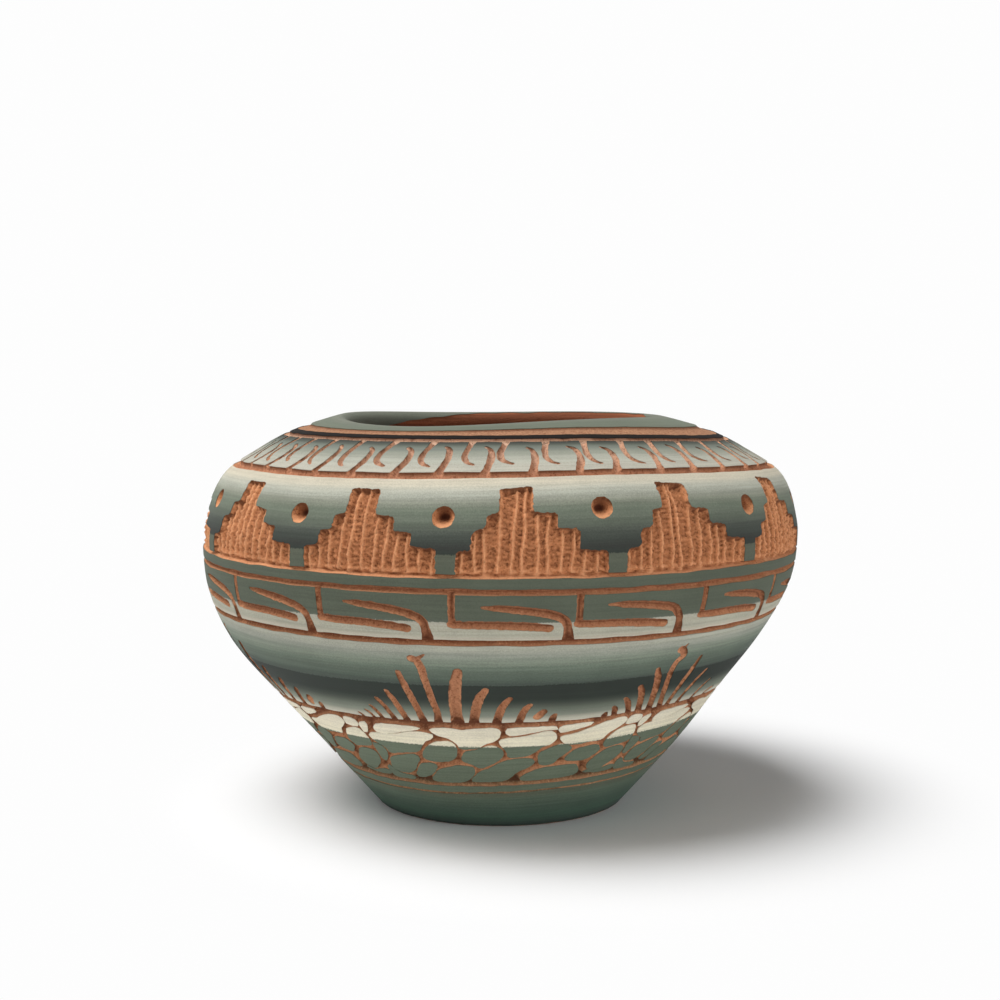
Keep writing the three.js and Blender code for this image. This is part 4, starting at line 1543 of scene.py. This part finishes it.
def slip_finish(band):
    """A matt slip whose shade changes up the wall."""
    is_rim = band.name == "slip_rim"
    shine = DARK_LINE_SHINE if band.name == "slip_dark_line" else SLIP_SHINE
    finish = Finish(band.name.replace("slip", "finish"), shine)
    place = finish.place()
    along = finish.known("along")
    swept = finish.swept(place, along)
    streak = finish.grain(swept, BRUSH_STREAK, 3.0, 0.65)
    broad = finish.grain(swept, BROAD_STREAK, 1.0)
    grain = finish.grain(place, SLIP_GRAIN, 1.0, 0.6)
    cloud = finish.grain(place, CLOUD, 3.0)
    shaken = along + (streak - 0.5) * 0.8 + (grain - 0.5) * 0.7 + (broad - 0.5) * 1.0
    low = band.low / stretch - 1
    high = (PATH_END if is_rim else band.high) / stretch + 1
    tone = finish.shades(shaken, TONES[band.name], low, high)
    chalk = (streak * 0.45 + grain * 0.35 + cloud * 0.2).between(0.36, 0.64)
    finish.to_shader("Base Color", tone * (0.86 + 0.28 * chalk))
    finish.to_shader("Roughness", 0.66 + grain * 0.12 + chalk * 0.06)
    finish.to_shader("Normal", finish.bump(streak * 0.6 + grain * 0.4, 0.06, 0.6))
    return finish.material


# %% The coats of slip, as thin shells
COAT_GAP = 0.02
BURR = 0.05  # how high the tool pushes up the edge of the slip


def coat(number, band):
    """One band's slip: its face, its underside just clear of the clay, and the cut edges between them."""
    own = carving.triangles[(carving.strips == number) & (carving.kinds == SLIP)]
    used, own = np.unique(own, return_inverse=True)
    own = own.reshape(-1, 3)
    count = len(used)
    bearing, along = places[used].T
    looks = wall_looks(bearing, along)
    ends, owner, other = paired_edges(own)
    rim = ends[other < 0]
    burr = np.zeros(count)
    burr[np.unique(rim)] = draw.uniform(0, BURR, len(np.unique(rim)))
    face = on_wall(bearing, along, -burr)
    own = outwards(own, face, looks)
    points = np.vstack([face, on_wall(bearing, along, SLIP_THICKNESS - COAT_GAP)])
    sides = []
    for (a, b), triangle in zip(rim, own[owner[other < 0]]):
        forwards = any(triangle[i] == a and triangle[(i + 1) % 3] == b for i in range(3))
        a, b = (a, b) if forwards else (b, a)
        sides += [(b, a, a + count), (b, a + count, b + count)]
    under = np.vstack([own[:, ::-1] + count, sides])
    triangles = np.vstack([own, under])
    bearings = np.concatenate([bearing, bearing])
    heights = np.concatenate([along, along])
    layout = np.vstack([
        layout_of(bearings[own], heights[own], 0.03, 0.87),
        layout_of(bearings[under], heights[under], 0.9, 0.97),
    ])
    name = band.name.replace("slip_", "") + "_slip"
    piece = make_piece(name, points, triangles, layout, {"along": heights / stretch}, slip_finish(band))
    corner_looks = np.repeat(face_looks(triangles, points), 3, axis=0)
    corner_looks /= np.maximum(np.linalg.norm(corner_looks, axis=1), 1e-12)[:, None]
    corner_looks[: len(own) * 3] = looks[own.ravel()]
    piece.data.normals_split_custom_set(corner_looks.tolist())
    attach(piece, "root")
    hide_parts(band.name)
    print(f"{name:20s} {len(triangles):6d} triangles")


for number, band in enumerate(strips):
    coat(number, band)

# %% [markdown]
# ## Red clay
# The clay under the slip is one body: the carved face, the lip, the plain inside with its throwing rings,
# and the level foot. Cut clay is rough, because the tool drags fine grit through it. Down in a cut its colour
# is painted darker, as shade, and painted light and pale dust lie on its crests. Inside, the clay was only
# smoothed on the wheel, so it is redder and carries streaks round the pot.

# %% The finish of the clay
# Painted light and shade: the cut clay's shade goes by the height, darker on the low rings that face down
CLAY_TONES = [
    (14, (82, 76, 58)), (18, (84, 70, 52)), (19.6, (92, 74, 54)), (20.8, (160, 112, 80)),
    (31, (168, 112, 80)), (34, (126, 78, 52)), (40, (110, 68, 48)), (41, (132, 84, 58)),
    (42.2, (164, 112, 82)), (47, (186, 130, 96)), (60, (186, 132, 100)), (64.6, (122, 72, 48)),
    (66.3, (124, 74, 50)), (68.5, (160, 106, 76)), (77, (158, 104, 74)), (79.5, (162, 106, 74)),
    (82, (188, 122, 80)), (101, (192, 128, 86)), (105, (180, 122, 90)), (112, (190, 152, 128)),
    (118, (192, 152, 128)), (119.2, (214, 180, 155)), (121.2, (214, 180, 155)), (122.6, (146, 110, 86)),
    (130, (140, 106, 84)),
]
# Painted shade along the cuts' edges, in the figures' troughs and in the middle of narrow cuts
CLAY_PAINTED_SHADE = (84, 46, 28)
# Painted shade down in a cut
CLAY_DEEP_SHADE = (118, 70, 44)
# Pale dust, and painted light on crests and on edges that lie low
CLAY_DUST_AND_HIGHLIGHT = (226, 164, 120)
CLAY_INSIDE = (158, 94, 64)
CLAY_INSIDE_DARK = (116, 68, 46)
# Painted shade deep in a drilled dot
HOLE_SHADE = (78, 40, 24)
CLAY_SHINE = 0.15
# Sizes of the grain and the streaks, in millimetres
GRIT = 0.42
LUMP = 0.9
THROWING_STREAK = 1.6


def clay_finish():
    """Bare clay, with painted light and shade laid over it where the mesh says that each belongs."""
    finish = Finish("finish_clay", CLAY_SHINE)
    place = finish.place()
    cut = finish.known("cut")
    torn = finish.known("torn")
    along = finish.known("along")
    grit = finish.grain(place, GRIT, 2.0, 0.7)
    rough = grit * 0.6 + finish.grain(place, LUMP, 2.0, 0.6) * 0.4
    tone = finish.shades(along, CLAY_TONES, CLAY_TONES[0][0], CLAY_TONES[-1][0])
    # Lighter where a cut is shallow and on the grit's crests: pale dust and painted light
    dust_and_crest_light = (1 - cut.between(0.3, 0.95)) * 0.2 + rough.between(0.5, 0.68) * 0.35
    clay = finish.blend(dust_and_crest_light, tone, paint(CLAY_DUST_AND_HIGHLIGHT))
    # Painted shade deep in a cut and in the grit's hollows
    trough = cut.between(0.85, 1.35) * 0.35 + rough.between(0.5, 0.34) * 0.75
    carved = finish.blend(trough, clay, paint(CLAY_DEEP_SHADE))
    # Painted shade where the mesh's painted shading is above 0, painted light where it is below 0
    edged = finish.blend(torn.between(0.0, 0.9) * 0.85, carved, paint(CLAY_PAINTED_SHADE))
    crested = finish.blend(torn.between(0.0, -0.9) * 0.7, edged, paint(CLAY_DUST_AND_HIGHLIGHT))
    # Painted shade deep in the drilled dots
    holed = finish.blend(cut.between(1.5, 2.4), crested, paint(HOLE_SHADE))
    streak = finish.grain(finish.swept(place, along), THROWING_STREAK, 3.0, 0.6)
    smoothed = finish.blend(streak.between(0.35, 0.65), paint(CLAY_INSIDE), paint(CLAY_INSIDE_DARK))
    finish.to_shader("Base Color", finish.blend(finish.known("inside"), holed, smoothed))
    finish.to_shader("Roughness", 0.92 - grit * 0.1)
    finish.to_shader("Normal", finish.bump(rough, 0.42, 1.0))
    return finish.material


# %% The plain inside
INSIDE_ROW = 2.6
ROUND_ROWS = 10
FLOOR_ROWS = 6
THROWING_RING = 5.5
THROWING_DEPTH = 0.22


def inside_rows():
    """Radius and height of each row down the plain inside to the middle of the floor."""
    down = INSIDE_SEEN
    rows = []
    while True:
        down += INSIDE_ROW
        point, rise = form_at(np.array([WALL_LENGTH - down]))
        inner = point[0] + np.array([-rise[0, 1], rise[0, 0]]) * wall_thickness(down)
        if inner[1] < FLOOR + FLOOR_ROUND:
            break
        rows.append((inner[0] + THROWING_DEPTH * math.sin(2 * math.pi * down / THROWING_RING), inner[1]))
    start = np.array(rows[-1])
    corner = np.array([FOOT_RADIUS - FOOT_EDGE, FLOOR])
    end = corner - [FLOOR_ROUND, 0]
    for i in range(1, ROUND_ROWS + 1):
        t = i / ROUND_ROWS
        rows.append(tuple(start * (1 - t) ** 2 + corner * 2 * t * (1 - t) + end * t**2))
    rows += [(end[0] * (1 - i / FLOOR_ROWS), FLOOR) for i in range(1, FLOOR_ROWS)]
    return rows


print(len(inside_rows()), "rows lead down to the middle of the floor")

# %% The clay body
UNDER_ROWS = (FOOT_RADIUS - FOOT_EDGE, 20.0, 8.0)
UNDER_STEPS = (FOOT_EDGE, 10.0, 10.0, 8.0)


def clay_body():
    bearing, along = places.T
    face = on_wall(bearing, along, SLIP_THICKNESS + depth)
    points = [face]
    triangles = [outwards(carving.triangles, face, wall_looks(bearing, along))]
    known = [np.column_stack([bearing, along, depth, torn])]
    round_bearings = border_rings[0][:, 0]
    step = np.arange(len(round_bearings))
    after = (step + 1) % len(step)

    def add(spots, bearings, path):
        """Adds spots that aren't cut, and gives their numbers."""
        start = sum(len(part) for part in points)
        points.append(spots)
        known.append([(side, path, 0, 0) for side in bearings])
        return np.arange(start, start + len(spots))

    def add_row(radius, height, path):
        return add(turned(round_bearings, radius, height), round_bearings, path)

    def add_middle(height, path):
        return np.repeat(add([(0, 0, height)], [0], path), len(step))

    def join(lower, upper):
        triangles.append(np.column_stack([lower[step], lower[after], upper[after]]))
        triangles.append(np.column_stack([lower[step], upper[after], upper[step]]))

    path = PATH_END
    last = border_ids[-1]
    for radius, height in inside_rows():
        path += INSIDE_ROW
        row = add_row(radius, height, path)
        join(last, row)
        last = row
    triangles.append(np.column_stack([last, last[after], add_middle(FLOOR, path + INSIDE_ROW)]))

    path = 0.0
    last = border_ids[0]
    for radius, under_step in zip(UNDER_ROWS, UNDER_STEPS):
        path -= under_step
        row = add_row(radius, 0.0, path)
        join(row, last)
        last = row
    triangles.append(np.column_stack([add_middle(0.0, path - UNDER_STEPS[-1]), last[after], last]))
    return np.vstack(points), np.vstack(triangles), np.vstack(known)


def corner_bearings(points, triangles, bearings):
    """The bearing of each corner. One in the pot's middle has the bearing of its triangle's other two."""
    corners = bearings[triangles]
    is_middle = np.hypot(points[triangles, 0], points[triangles, 1]) < 1e-6
    fan = is_middle.any(axis=1)
    others = np.where(is_middle[fan], np.nan, corners[fan])
    spread = others - np.nanmin(others, axis=1, keepdims=True)
    others = np.where(spread > 180, others - 360, others)
    corners[fan] = np.where(is_middle[fan], np.nanmean(others, axis=1, keepdims=True), corners[fan])
    return corners


points, triangles, known = clay_body()
bearings, heights, cuts, painted_shadings = known.T
layout = layout_of(corner_bearings(points, triangles, bearings), heights[triangles], 0.01, 0.99)
inside = smooth_share(heights, WALL_LENGTH, WALL_LENGTH + 1.2)
# The clay carries its painted light and shade as one amount
carried = {"along": heights / stretch, "cut": cuts, "torn": painted_shadings, "inside": inside}
clay_pot = make_piece("clay_pot", points, triangles, layout, carried, clay_finish())
sharp = {tuple(edge) for edge in cut_edges.tolist()}
sharp_edges = [tuple(sorted(edge.vertices)) in sharp for edge in clay_pot.data.edges]
clay_pot.data.attributes.new("sharp_edge", "BOOLEAN", "EDGE").data.foreach_set("value", sharp_edges)
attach(clay_pot, "root")
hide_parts("clay_body")
print("The clay body has", len(triangles), "triangles")
